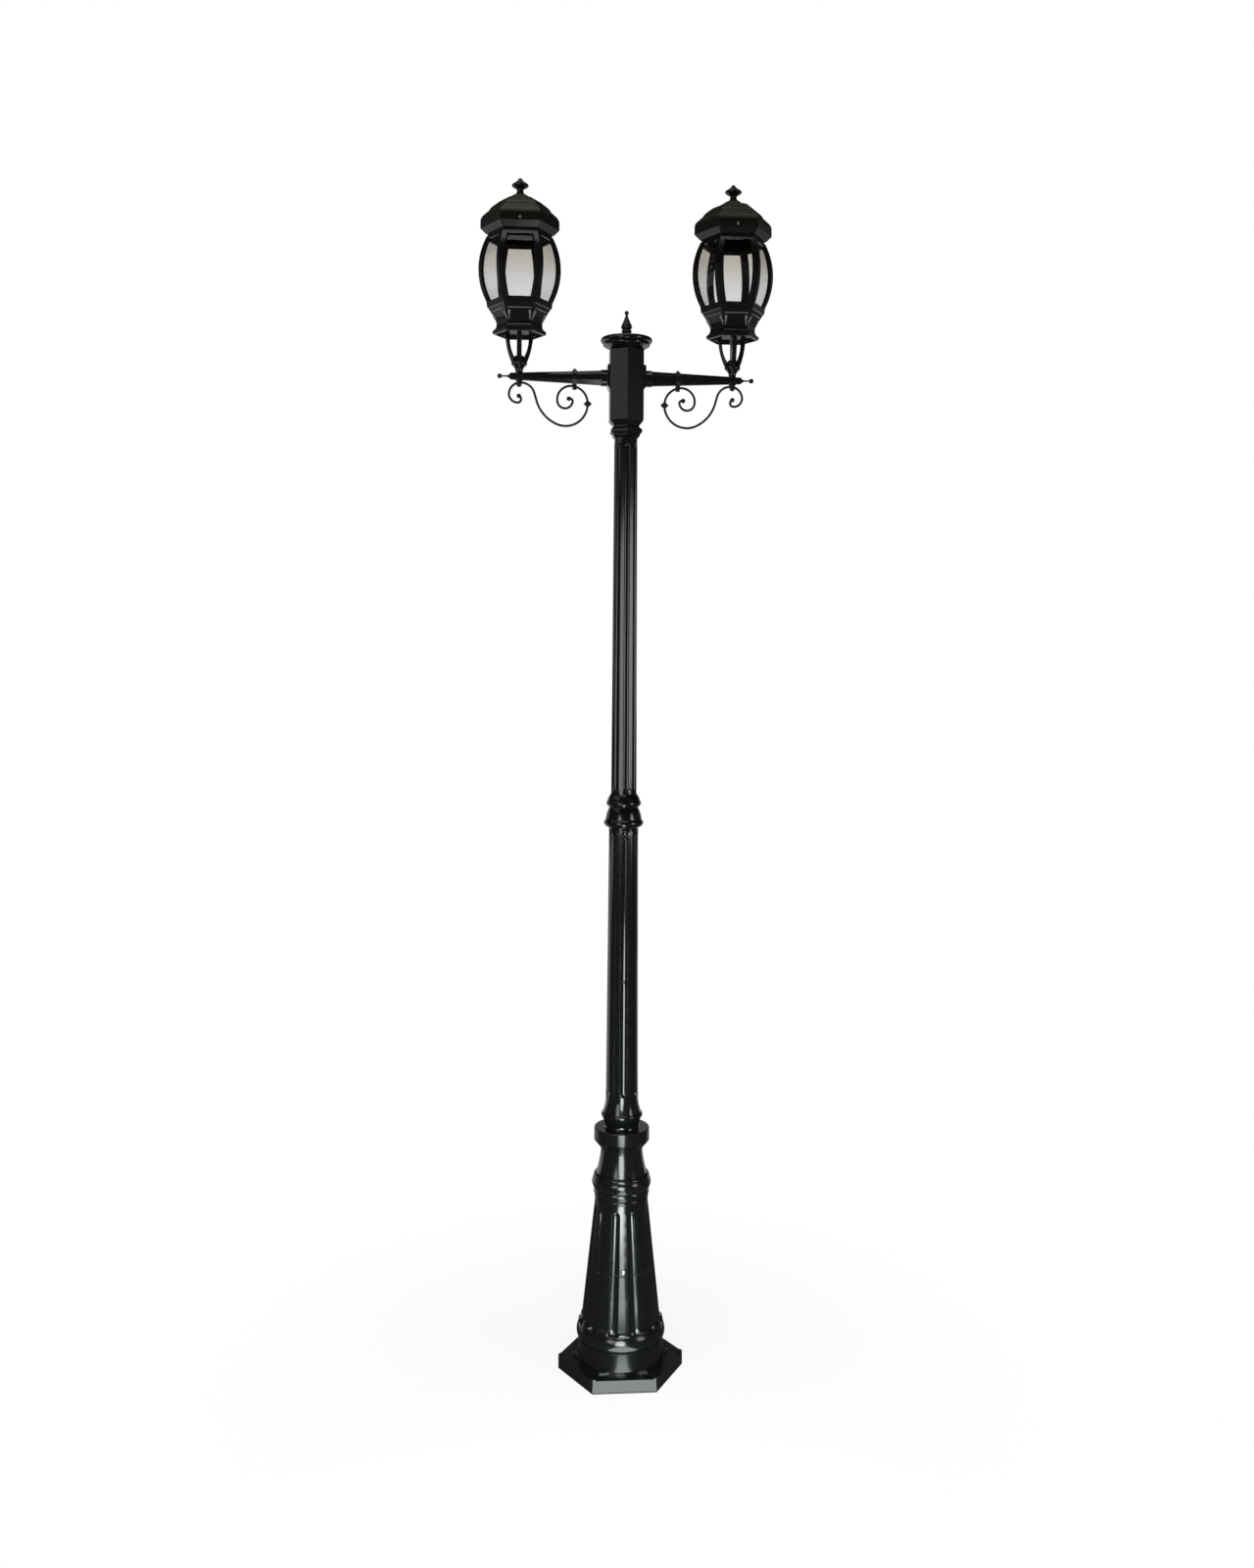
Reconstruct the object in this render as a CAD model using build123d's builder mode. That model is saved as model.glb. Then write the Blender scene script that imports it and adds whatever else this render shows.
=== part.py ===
from build123d import *
import os
from math import atan2, cos, degrees, radians, sin, sqrt, tan

# Twin head post light. Millimetres, +Z up, origin at the bottom centre of the base.
# The arms run along X, the front of the light faces -Y.

os.makedirs("parts", exist_ok=True)

# Clearances
SPIGOT_GAP = 0.2  # radial, between a spigot and its socket
LIFT_GAP = 0.3  # under and round a piece that lifts off
SCREW_GAP = 0.2  # radial, round a screw or a threaded tube
ROD_GAP = 0.4  # radial, round the wrought rod where it is held

# Base: foot casting
PLATE_CORNER_R = 125.0
PLATE_H = 28.0
PLATE_EDGE_R = 2.0
PAD_RECESS = 3.0
PAD_TIP = 6.0  # of plate edge left at each side of a corner
ANCHOR_HOLES = 3
ANCHOR_R = 112.0
ANCHOR_HOLE_R = 4.5
SKIRT_FOOT_R = 88.0
SKIRT_TOP_R = 83.0
SKIRT_H = 34.0
LOW_BEAD_R = 88.4
HIGH_BEAD_R = 84.4
BEADS_H = 42.0
FOOT_WALL = 10.0
MOUTH_R = 76.0

# Base: fluted cone, in two castings
CONE_FOOT_R = 78.1
CONE_TOP_R = 52.7
CONE_H = 236.0
SEAM_UP = 103.0
SEAM_GROOVE = 1.0
CONE_FLUTES = 12
CONE_FLUTE_DEPTH = 3.2
CONE_FLUTE_FOOT_W = 22.0
CONE_FLUTE_TOP_W = 15.5
FLUTE_END_GAP = 12.0
SEAM_SPIGOT_R = 54.0
SEAM_SPIGOT_H = 25.0
SEAM_SPIGOT_WALL = 6.0

# Base: head of the upper casting
HEAD_RING_R = 53.9
HEAD_RING_UP = 7.0  # over the cone's top, as the next ones
HEAD_LOW_BEAD_R = 55.6
HEAD_LOW_BEAD_UP = 21.0
HEAD_BEAD_R = 59.1
HEAD_BEAD_UP = 44.0
HEAD_SHOULDER_R = 50.5
HEAD_SHOULDER_UP = 52.0
HEAD_NECK_R = 41.8
HEAD_NECK_UP = 95.0
CAP_RING_R = 55.4
CAP_RING_H = 24.5
CAP_RING_CHAMFER_H = 16.5
HEAD_H = 142.0
HEAD_BORE_R = 34.0

# Set screws of the base
BASE_SCREW_R = 2.5
BASE_SCREW_HEAD_R = 4.0
BASE_SCREW_HEAD_H = 2.0
SPOT_DEPTH = 1.2

# Lower pole
FERRULE_R = 41.7
FERRULE_FOOT_R = 34.3
FERRULE_H = 53.0
LOW_POLE_FOOT_R = 32.7
LOW_POLE_TOP_R = 29.5
LOW_POLE_H = 548.0
LOW_POLE_BORE_R = 21.0
LOW_SPIGOT_R = 30.0
LOW_SPIGOT_H = 50.0
POLE_FLUTES = 8
LOW_FLUTE_FOOT_W = 17.6
LOW_FLUTE_TOP_W = 15.4
LOW_FLUTE_DEPTH = 3.6
POLE_SCREW_R = 1.6
POLE_SCREW_HEAD_R = 2.8
POLE_SCREW_HEAD_H = 1.4
HIGH_SCREW_DOWN = 20.0
LOW_SCREW_UP = 242.0

# Collar between the poles
COLLAR_H = 67.0
COLLAR_R = 39.6
COLLAR_STEP_R = 35.9
COLLAR_NECK_R = 29.2
COLLAR_NECK_UP = 40.0
COLLAR_HEAD_R = 34.8
COLLAR_LOW_SPIGOT_R = 24.0
COLLAR_LOW_SPIGOT_H = 24.0
COLLAR_HIGH_SPIGOT_R = 20.0
COLLAR_HIGH_SPIGOT_H = 36.0

# Upper pole
HIGH_POLE_FOOT_R = 25.5
HIGH_POLE_TOP_R = 23.3
HIGH_POLE_H = 714.0
HIGH_POLE_BORE_R = 15.0
HIGH_FLUTE_FOOT_W = 13.4
HIGH_FLUTE_TOP_W = 12.2
HIGH_FLUTE_DEPTH = 2.8
HIGH_POLE_TURN = 4.0
TOP_SPIGOT_R = 16.0
TOP_SPIGOT_BORE_R = 12.0
TOP_SPIGOT_H = 36.0

# Ring and column
RING_H = 24.0
RING_FLAT = 62.5
RING_BEAD_R = 27.0
COLUMN_FLAT = 67.5
COLUMN_FOOT_FLAT = 50.5
COLUMN_CHAMFER_H = 10.0
COLUMN_BEVEL = 3.0
COLUMN_H = 154.0
COLUMN_WALL = 6.75
COLUMN_FLOOR = 14.0
WEB_W = 12.0
WEB_H = 6.0
WEB_DOWN = 12.0

# Cap, stud and finial
CAP_R = 52.2
CAP_BEAD_R = 47.5
CAP_H = 28.0
CAP_SPIGOT_H = 9.0
CAP_BORE_R = 20.0
STUD_R = 2.5
FINIAL_H = 50.0
FINIAL_R = 12.1
FINIAL_BALL_R = 4.4
FINIAL_FOOT_R = 8.4
STUD_IN_FINIAL = 14.0

# Terminal block under the web
BLOCK_X = 16.0
BLOCK_Y = 34.0
BLOCK_H = 14.0

# Arms
ARM_UP = 96.0  # arm axis over the column's foot
ARM_REACH = 215.0
ARM_ROOT_FLAT = 28.0
ARM_END_FLAT = 13.0
ARM_OVERHANG = 17.5
ARM_BORE_R = 4.5
ARM_SPIGOT_R = 11.0
ARM_THREAD_R = 7.0
ARM_THREAD_IN = 8.0
BOSS_R = 7.2
BOSS_UP = 9.0
BOSS_DOWN = 9.0
FLANGE_T = 5.0
FLANGE_W = 36.0
FLANGE_H = 50.0
FLANGE_CHAMFER = 4.5
SLEEVE_R = 16.5
SLEEVE_L = 12.3
ARM_NUT_FLAT = 22.0
ARM_NUT_H = 5.0
ARM_SCREW_R = 2.0
TIP_NECK_R = 1.6
TIP_BALL_R = 4.9
TIP_L = 26.1

# Scroll, drawn as a chain of tangent arcs: radius and turn, left turns positive
ROD_R = 2.4
SCROLL_BALL_R = 4.7
SCROLL_START = (0.3, -39.1)  # from the lantern's axis and from the arm's axis
SCROLL_HEADING = -159.9
SCROLL_ARCS = (
    (6.9, 157.8),
    (17.0, 94.9),
    (23.5, 85.8),
    (28.1, 73.5),
    (250.0, 3.4),
    (72.1, -50.9),
    (44.7, -122.3),
    (34.5, -75.6),
    (27.4, -107.9),
    (15.4, -162.4),
    (5.5, -118.5),
)
KNOT_R = 8.6
KNOT_H = 10.0
CLAMP_IN = 111.0  # from the lantern's axis
CLAMP_W = 9.0
CLAMP_T = 2.6
CLAMP_LUG_R = 4.4
CLAMP_LUG_H = 10.0
CLAMP_POINT_H = 5.0
CAP_NUT_R = 5.6
CAP_NUT_H = 12.5

# Lantern: stem and three-legged carrier, heights from the arm's axis
STEM_R = 5.0
STEM_BORE_R = 3.5
STEM_DOWN = 6.0
TULIP_R = 16.0
TULIP_NECK_R = 7.4
HUB_TOP = 41.0
CARRIER_TOP = 88.0
LEG_W = 9.4
LEG_T = 5.4
LEG_R = 27.0
LEG_BOW_R = 21.0
LEG_BOW_Z = 50.0
PAD_R = 6.0
PAD_T = 3.0
PAD_OUT = 33.6
LEG_SCREW_R = 2.0
LEG_SCREW_HEAD_R = 3.6

# Lantern: basket, sizes over the flats are half ones
BASKET_FOOT = 82.0
FOOT_RIM = 46.2
FOOT_RIM_H = 7.5
FOOT_RIM_ROUND = 3.0
WAIST = 39.6
WAIST_Z = 101.0
BASKET_RIM = 57.2
BASKET_TOP = 147.0
BASKET_WALL = 4.2
BASKET_FLOOR = 5.0
GLASS_LEDGE = 4.0

# Lantern: cage and panes
CAGE_BELLY = 71.3
CAGE_BELLY_Z = 212.5
CAGE_TOP = 278.0
CAGE_WALL = 5.0
RIB_W = 9.6  # on each face, from the corner
WINDOW_TOP = 270.0
COLLAR_FLAT = 55.4
CAGE_COLLAR_H = 24.0
PANE_T = 3.5
PANE_GAP = 0.25
PANE_SPLIT = 1.2
PANE_TOP = 276.5

# Lamp holder
HOLDER_R = 18.0
HOLDER_H = 44.0
SOCKET_R = 13.6
SOCKET_DEPTH = 28.0

# Roof
EAVE = 68.3
EAVE_H = 14.0
EAVE_CHAMFER_H = 11.0
ROOF_WALL = 3.0
ROOF_SLOPE_H = 40.0
ROOF_STEP = 50.6
ROOF_LEDGE = 3.4
ROOF_SHOULDER = 30.0
DOME_FOOT = 23.0
DOME_TOP = 15.0
DOME_H = 10.0
KNOB_R = 15.6
KNOB_H = 36.0
KNOB_NECK_R = 5.9
KNOB_TIP_R = 2.0
KNOB_SCREW_R = 2.0
KNOB_SINK = 1.6
ROOF_SCREW_R = 1.8
ROOF_SCREW_HEAD_R = 2.9

# Levels up the post
skirt_top = PLATE_H + SKIRT_H
cone_foot = skirt_top + BEADS_H
seam = cone_foot + SEAM_UP
cone_top = cone_foot + CONE_H
base_top = cone_top + HEAD_H
low_pole_foot = base_top + FERRULE_H
low_pole_top = low_pole_foot + LOW_POLE_H
high_pole_foot = low_pole_top + COLLAR_H
high_pole_top = high_pole_foot + HIGH_POLE_H
column_foot = high_pole_top + RING_H
column_top = column_foot + COLUMN_H
arm_z = column_foot + ARM_UP
cap_top = column_top + CAP_H

# Places along the arms
arm_end_x = ARM_REACH + ARM_OVERHANG
clamp_x = ARM_REACH - CLAMP_IN

# Directions of what is seen from the front, round the vertical axis
FRONT = -90.0
THIRDS = (FRONT, FRONT + 120, FRONT + 240)


def upright(turn, origin=(0, 0, 0)):
    """Standing plane through origin: its x runs outward at this turn round Z, its y runs up."""
    outward = Vector(cos(radians(turn)), sin(radians(turn)), 0)
    return Plane(origin=origin, x_dir=outward, z_dir=outward.cross(Vector(0, 0, 1)))


def facing_front(x, y, z):
    """Standing plane at a point, its x to the right, its y up and its normal to the front."""
    return Plane(origin=(x, y, z), x_dir=(1, 0, 0), z_dir=(0, -1, 0))


def level(x, z):
    """Level plane at a height, its origin at x."""
    return Plane(origin=(x, 0, z))


def six_sided(outline, first_flat, reach):
    """Solid with six mitred sides. The outline is half of its section over a flat, x outward and y up."""
    with BuildPart() as body:
        for side in range(3):
            with BuildSketch(upright(first_flat + 60 * side)):
                add(outline.sketch)
                mirror(outline.sketch, about=Plane.YZ)
            extrude(amount=reach, both=True, mode=Mode.ADD if side == 0 else Mode.INTERSECT)
    return body.part


def flute(foot, top, foot_w, top_w, depth):
    """Round-ended tool for one flute. Foot and top are (radius, height) points on the shaft's side."""
    foot_tool_r = (foot_w**2 / 4 + depth**2) / (2 * depth)
    top_tool_r = (top_w**2 / 4 + depth**2) / (2 * depth)
    low = Vector(foot[0] + foot_tool_r - depth, foot[1] + foot_w / 2)
    high = Vector(top[0] + top_tool_r - depth, top[1] - top_w / 2)
    along = (high - low).normalized()
    aside = Vector(-along.Y, along.X)
    with BuildPart() as tool:
        with BuildSketch(Plane.XZ):
            with BuildLine():
                low_tip = low - along * foot_tool_r
                high_tip = high + along * top_tool_r
                slant = sqrt(0.5)
                low_side = low + aside * foot_tool_r
                high_side = high + aside * top_tool_r
                ThreePointArc(low_tip, low + (aside - along) * (foot_tool_r * slant), low_side)
                Line(low_side, high_side)
                ThreePointArc(high_side, high + (aside + along) * (top_tool_r * slant), high_tip)
                Line(high_tip, low_tip)
            make_face()
        revolve(axis=Axis((low.X, 0, low.Y), (along.X, 0, along.Y)))
    return tool.part


def finish(piece, label):
    """Name a finished piece and write it."""
    piece.label = label
    export_step(piece, f"parts/{label}.step")


def cone_r(z):
    """Radius of the base's cone at a height."""
    return CONE_FOOT_R + (CONE_TOP_R - CONE_FOOT_R) * (z - cone_foot) / CONE_H


# Base flutes run through both castings
cone_flute = flute(
    (cone_r(cone_foot), cone_foot - FLUTE_END_GAP / 2),
    (cone_r(cone_top - FLUTE_END_GAP), cone_top - FLUTE_END_GAP),
    CONE_FLUTE_FOOT_W,
    CONE_FLUTE_TOP_W,
    CONE_FLUTE_DEPTH,
)
screw_z = seam + SEAM_SPIGOT_H / 3
screw_r = cone_r(screw_z)

# Foot casting
bead_mid = skirt_top + BEADS_H * 0.74
with BuildPart() as base_foot:
    with BuildSketch():
        RegularPolygon(PLATE_CORNER_R, 6)
    extrude(amount=PLATE_H)
    fillet(base_foot.edges().filter_by(Axis.Z), PLATE_EDGE_R)
    fillet(base_foot.faces().sort_by(Axis.Z)[-1].edges(), PLATE_EDGE_R)
    flat_r = PLATE_CORNER_R * cos(radians(30))
    with BuildSketch(Plane.XY.offset(PLATE_H)):
        with PolarLocations(flat_r, 6, start_angle=30):
            Rectangle(2 * (flat_r - SKIRT_TOP_R), PLATE_CORNER_R - 2 * PAD_TIP)
    extrude(amount=-PAD_RECESS, mode=Mode.SUBTRACT)
    with BuildSketch(Plane.XZ):
        with BuildLine():
            Line((0, PLATE_H / 2), (SKIRT_FOOT_R, PLATE_H / 2))
            Line((SKIRT_FOOT_R, PLATE_H / 2), (SKIRT_FOOT_R, PLATE_H + 2))
            skirt = Line((SKIRT_FOOT_R, PLATE_H + 2), (SKIRT_TOP_R, skirt_top))
            low_bead = ThreePointArc(
                skirt @ 1, (LOW_BEAD_R, (skirt_top + bead_mid) / 2), (HIGH_BEAD_R - 1.8, bead_mid)
            )
            high_bead = ThreePointArc(
                low_bead @ 1,
                (HIGH_BEAD_R, (bead_mid + cone_foot) / 2 - 0.5),
                (CONE_FOOT_R + 2.2, cone_foot - 2),
            )
            Line(high_bead @ 1, (CONE_FOOT_R, cone_foot))
            Line((CONE_FOOT_R, cone_foot), (cone_r(seam - SEAM_GROOVE), seam - SEAM_GROOVE))
            Line((cone_r(seam - SEAM_GROOVE), seam - SEAM_GROOVE), (cone_r(seam) - SEAM_GROOVE, seam))
            Line((cone_r(seam) - SEAM_GROOVE, seam), (SEAM_SPIGOT_R, seam))
            Line((SEAM_SPIGOT_R, seam), (SEAM_SPIGOT_R, seam + SEAM_SPIGOT_H))
            Line((SEAM_SPIGOT_R, seam + SEAM_SPIGOT_H), (0, seam + SEAM_SPIGOT_H))
            Line((0, seam + SEAM_SPIGOT_H), (0, PLATE_H / 2))
        make_face()
    revolve(axis=Axis.Z)
    with BuildSketch(Plane.XZ):
        with BuildLine():
            Polyline(
                (0, -1),
                (MOUTH_R, -1),
                (SKIRT_TOP_R - FOOT_WALL, skirt_top),
                (CONE_FOOT_R - FOOT_WALL, cone_foot),
                (SEAM_SPIGOT_R - 1, seam - FOOT_WALL),
                (SEAM_SPIGOT_R - SEAM_SPIGOT_WALL, seam),
                (SEAM_SPIGOT_R - SEAM_SPIGOT_WALL, seam + SEAM_SPIGOT_H + 1),
                (0, seam + SEAM_SPIGOT_H + 1),
                close=True,
            )
        make_face()
    revolve(axis=Axis.Z, mode=Mode.SUBTRACT)
    with BuildSketch(Plane.XY.offset(PLATE_H)):
        with PolarLocations(ANCHOR_R, ANCHOR_HOLES, start_angle=180):
            Circle(ANCHOR_HOLE_R)
    extrude(amount=-PLATE_H, mode=Mode.SUBTRACT)
    with PolarLocations(0, CONE_FLUTES, start_angle=FRONT + 180 / CONE_FLUTES):
        add(cone_flute, mode=Mode.SUBTRACT)
finish(base_foot.part, "base_foot")

# Upper base casting
neck_z = cone_top + HEAD_NECK_UP
ring_foot = base_top - CAP_RING_H
with BuildPart() as base_cone:
    with BuildSketch(Plane.XZ):
        with BuildLine():
            Line((0, seam), (cone_r(seam) - SEAM_GROOVE, seam))
            Line((cone_r(seam) - SEAM_GROOVE, seam), (cone_r(seam + SEAM_GROOVE), seam + SEAM_GROOVE))
            Line((cone_r(seam + SEAM_GROOVE), seam + SEAM_GROOVE), (CONE_TOP_R, cone_top))
            ring = ThreePointArc(
                (CONE_TOP_R, cone_top),
                (HEAD_RING_R, cone_top + HEAD_RING_UP / 2),
                (CONE_TOP_R - 0.5, cone_top + HEAD_RING_UP),
            )
            low_bead = ThreePointArc(
                ring @ 1,
                (HEAD_LOW_BEAD_R, cone_top + HEAD_LOW_BEAD_UP - 6),
                (HEAD_LOW_BEAD_R - 1.6, cone_top + HEAD_LOW_BEAD_UP),
            )
            bead = ThreePointArc(
                low_bead @ 1,
                (HEAD_BEAD_R, cone_top + (HEAD_LOW_BEAD_UP + HEAD_BEAD_UP) / 2),
                (HEAD_BEAD_R - 3.4, cone_top + HEAD_BEAD_UP),
            )
            shoulder = ThreePointArc(
                bead @ 1,
                (HEAD_BEAD_R - 3.2, cone_top + HEAD_BEAD_UP + 4),
                (HEAD_SHOULDER_R, cone_top + HEAD_SHOULDER_UP),
            )
            sweep_up = ThreePointArc(
                shoulder @ 1,
                (HEAD_NECK_R + 2.2, (cone_top + HEAD_SHOULDER_UP) * 0.37 + neck_z * 0.63),
                (HEAD_NECK_R, neck_z),
            )
            Line(sweep_up @ 1, (HEAD_NECK_R, ring_foot - CAP_RING_CHAMFER_H))
            Line((HEAD_NECK_R, ring_foot - CAP_RING_CHAMFER_H), (CAP_RING_R, ring_foot))
            Line((CAP_RING_R, ring_foot), (CAP_RING_R, base_top - 1.5))
            Line((CAP_RING_R, base_top - 1.5), (CAP_RING_R - 1.5, base_top))
            Line((CAP_RING_R - 1.5, base_top), (0, base_top))
            Line((0, base_top), (0, seam))
        make_face()
    revolve(axis=Axis.Z)
    with BuildSketch(Plane.XZ):
        with BuildLine():
            socket_r = SEAM_SPIGOT_R + SPIGOT_GAP
            socket_top = seam + SEAM_SPIGOT_H + 1
            Polyline(
                (0, seam - 1),
                (socket_r, seam - 1),
                (socket_r, socket_top),
                (SEAM_SPIGOT_R - 4, socket_top + 6),
                (CONE_TOP_R - FOOT_WALL, cone_top),
                (HEAD_BORE_R, cone_top + 50),
                (HEAD_BORE_R, base_top - LOW_SPIGOT_H - 4),
                (LOW_SPIGOT_R + SPIGOT_GAP, base_top - LOW_SPIGOT_H),
                (LOW_SPIGOT_R + SPIGOT_GAP, base_top + 1),
                (0, base_top + 1),
                close=True,
            )
        make_face()
    revolve(axis=Axis.Z, mode=Mode.SUBTRACT)
    with PolarLocations(0, CONE_FLUTES, start_angle=FRONT + 180 / CONE_FLUTES):
        add(cone_flute, mode=Mode.SUBTRACT)
    for turn in THIRDS:
        outward = upright(turn).x_dir
        with BuildSketch(Plane(origin=outward * (screw_r - SPOT_DEPTH) + (0, 0, screw_z), z_dir=outward)):
            Circle(BASE_SCREW_HEAD_R + SCREW_GAP)
        extrude(amount=2 * FOOT_WALL, mode=Mode.SUBTRACT)
        with BuildSketch(Plane(origin=outward * SEAM_SPIGOT_R + (0, 0, screw_z), z_dir=outward)):
            Circle(BASE_SCREW_R + SCREW_GAP)
        extrude(amount=2 * FOOT_WALL, mode=Mode.SUBTRACT)
finish(base_cone.part, "base_cone")

# Set screws of the base
with BuildPart() as base_screws:
    for turn in THIRDS:
        outward = upright(turn).x_dir
        with BuildSketch(Plane(origin=outward * SEAM_SPIGOT_R + (0, 0, screw_z), z_dir=outward)):
            Circle(BASE_SCREW_R)
        extrude(amount=screw_r - SPOT_DEPTH - SEAM_SPIGOT_R)
        head = Plane(origin=outward * (screw_r - SPOT_DEPTH) + (0, 0, screw_z), z_dir=outward)
        with BuildSketch(head):
            Circle(BASE_SCREW_HEAD_R)
        extrude(amount=BASE_SCREW_HEAD_H, taper=25)
finish(base_screws.part, "base_screws")

# Lower pole with its foot moulding
low_flute = flute(
    (LOW_POLE_FOOT_R, low_pole_foot + FLUTE_END_GAP),
    (LOW_POLE_TOP_R, low_pole_top - FLUTE_END_GAP / 2),
    LOW_FLUTE_FOOT_W,
    LOW_FLUTE_TOP_W,
    LOW_FLUTE_DEPTH,
)
pole_screw_levels = (low_pole_top - HIGH_SCREW_DOWN, low_pole_foot + LOW_SCREW_UP)


def low_pole_r(z):
    """Radius of the lower pole's side at a height."""
    return LOW_POLE_FOOT_R + (LOW_POLE_TOP_R - LOW_POLE_FOOT_R) * (z - low_pole_foot) / LOW_POLE_H


with BuildPart() as lower_pole:
    with BuildSketch(Plane.XZ):
        with BuildLine():
            Line((LOW_POLE_BORE_R, base_top - LOW_SPIGOT_H), (LOW_SPIGOT_R, base_top - LOW_SPIGOT_H))
            Line((LOW_SPIGOT_R, base_top - LOW_SPIGOT_H), (LOW_SPIGOT_R, base_top))
            Line((LOW_SPIGOT_R, base_top), (FERRULE_FOOT_R + 2, base_top))
            fillet_up = ThreePointArc(
                (FERRULE_FOOT_R + 2, base_top),
                (FERRULE_FOOT_R + 0.4, base_top + 2.6),
                (FERRULE_FOOT_R, base_top + 6),
            )
            bowl = ThreePointArc(
                fillet_up @ 1, (FERRULE_FOOT_R + 2, base_top + 14), (FERRULE_R - 1.4, base_top + 21.5)
            )
            ring = ThreePointArc(
                bowl @ 1, (FERRULE_R, base_top + 25.5), (FERRULE_R - 1.5, base_top + 29.5)
            )
            Line(ring @ 1, (FERRULE_R - 3.4, base_top + 31))
            cove = ThreePointArc(
                (FERRULE_R - 3.4, base_top + 31),
                (LOW_POLE_FOOT_R + 2.6, base_top + 41),
                (LOW_POLE_FOOT_R, low_pole_foot),
            )
            Line(cove @ 1, (LOW_POLE_TOP_R, low_pole_top))
            spigot_top = low_pole_top + COLLAR_LOW_SPIGOT_H
            Line((LOW_POLE_TOP_R, low_pole_top), (COLLAR_LOW_SPIGOT_R, low_pole_top))
            Line((COLLAR_LOW_SPIGOT_R, low_pole_top), (COLLAR_LOW_SPIGOT_R, spigot_top))
            Line((COLLAR_LOW_SPIGOT_R, spigot_top), (LOW_POLE_BORE_R, spigot_top))
            Line((LOW_POLE_BORE_R, spigot_top), (LOW_POLE_BORE_R, base_top - LOW_SPIGOT_H))
        make_face()
    revolve(axis=Axis.Z)
    with PolarLocations(0, POLE_FLUTES, start_angle=FRONT):
        add(low_flute, mode=Mode.SUBTRACT)
    for z in pole_screw_levels:
        with BuildSketch(facing_front(0, -LOW_POLE_BORE_R, z)):
            Circle(POLE_SCREW_R + SCREW_GAP)
        extrude(amount=FOOT_WALL + LOW_FLUTE_DEPTH, mode=Mode.SUBTRACT)
        with BuildSketch(facing_front(0, LOW_FLUTE_DEPTH - low_pole_r(z), z)):
            Circle(POLE_SCREW_HEAD_R + SCREW_GAP)
        extrude(amount=FOOT_WALL, mode=Mode.SUBTRACT)
finish(lower_pole.part, "lower_pole")

with BuildPart() as pole_screws:
    for z in pole_screw_levels:
        floor_r = low_pole_r(z) - LOW_FLUTE_DEPTH
        with BuildSketch(facing_front(0, -LOW_POLE_BORE_R, z)):
            Circle(POLE_SCREW_R)
        extrude(amount=floor_r - LOW_POLE_BORE_R)
        with BuildSketch(facing_front(0, -floor_r, z)):
            Circle(POLE_SCREW_HEAD_R)
        extrude(amount=POLE_SCREW_HEAD_H, taper=20)
finish(pole_screws.part, "pole_screws")

# Collar between the poles
with BuildPart() as mid_collar:
    z = low_pole_top
    with BuildSketch(Plane.XZ):
        with BuildLine():
            low_r = COLLAR_LOW_SPIGOT_R + SPIGOT_GAP
            high_r = COLLAR_HIGH_SPIGOT_R + SPIGOT_GAP
            web_r = HIGH_POLE_BORE_R + 2
            rise = z + COLLAR_H
            Line((low_r, z), (LOW_POLE_TOP_R + 0.6, z))
            Line((LOW_POLE_TOP_R + 0.6, z), (LOW_POLE_TOP_R + 4.4, z + 1))
            torus = ThreePointArc(
                (LOW_POLE_TOP_R + 4.4, z + 1), (COLLAR_R, z + 9.5), (COLLAR_STEP_R + 0.6, z + 15.5)
            )
            Line(torus @ 1, (COLLAR_STEP_R, z + 16.5))
            belly = ThreePointArc(
                (COLLAR_STEP_R, z + 16.5),
                (COLLAR_STEP_R - 1.5, z + 26),
                (COLLAR_NECK_R, z + COLLAR_NECK_UP),
            )
            Line(belly @ 1, (COLLAR_NECK_R + 2.8, z + COLLAR_NECK_UP + 2))
            head = ThreePointArc(
                (COLLAR_NECK_R + 2.8, z + COLLAR_NECK_UP + 2),
                (COLLAR_HEAD_R, z + COLLAR_NECK_UP + 7.5),
                (COLLAR_HEAD_R - 1.4, z + COLLAR_NECK_UP + 13),
            )
            top = ThreePointArc(
                head @ 1, (COLLAR_HEAD_R - 3.6, z + COLLAR_NECK_UP + 19), (HIGH_POLE_FOOT_R + 0.8, rise)
            )
            Line(top @ 1, (high_r, rise))
            Line((high_r, rise), (high_r, rise - COLLAR_HIGH_SPIGOT_H - 1))
            Line((high_r, rise - COLLAR_HIGH_SPIGOT_H - 1), (web_r, rise - COLLAR_HIGH_SPIGOT_H - 1))
            Line((web_r, rise - COLLAR_HIGH_SPIGOT_H - 1), (web_r, z + COLLAR_LOW_SPIGOT_H + 1))
            Line((web_r, z + COLLAR_LOW_SPIGOT_H + 1), (low_r, z + COLLAR_LOW_SPIGOT_H + 1))
            Line((low_r, z + COLLAR_LOW_SPIGOT_H + 1), (low_r, z))
        make_face()
    revolve(axis=Axis.Z)
finish(mid_collar.part, "mid_collar")

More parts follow.
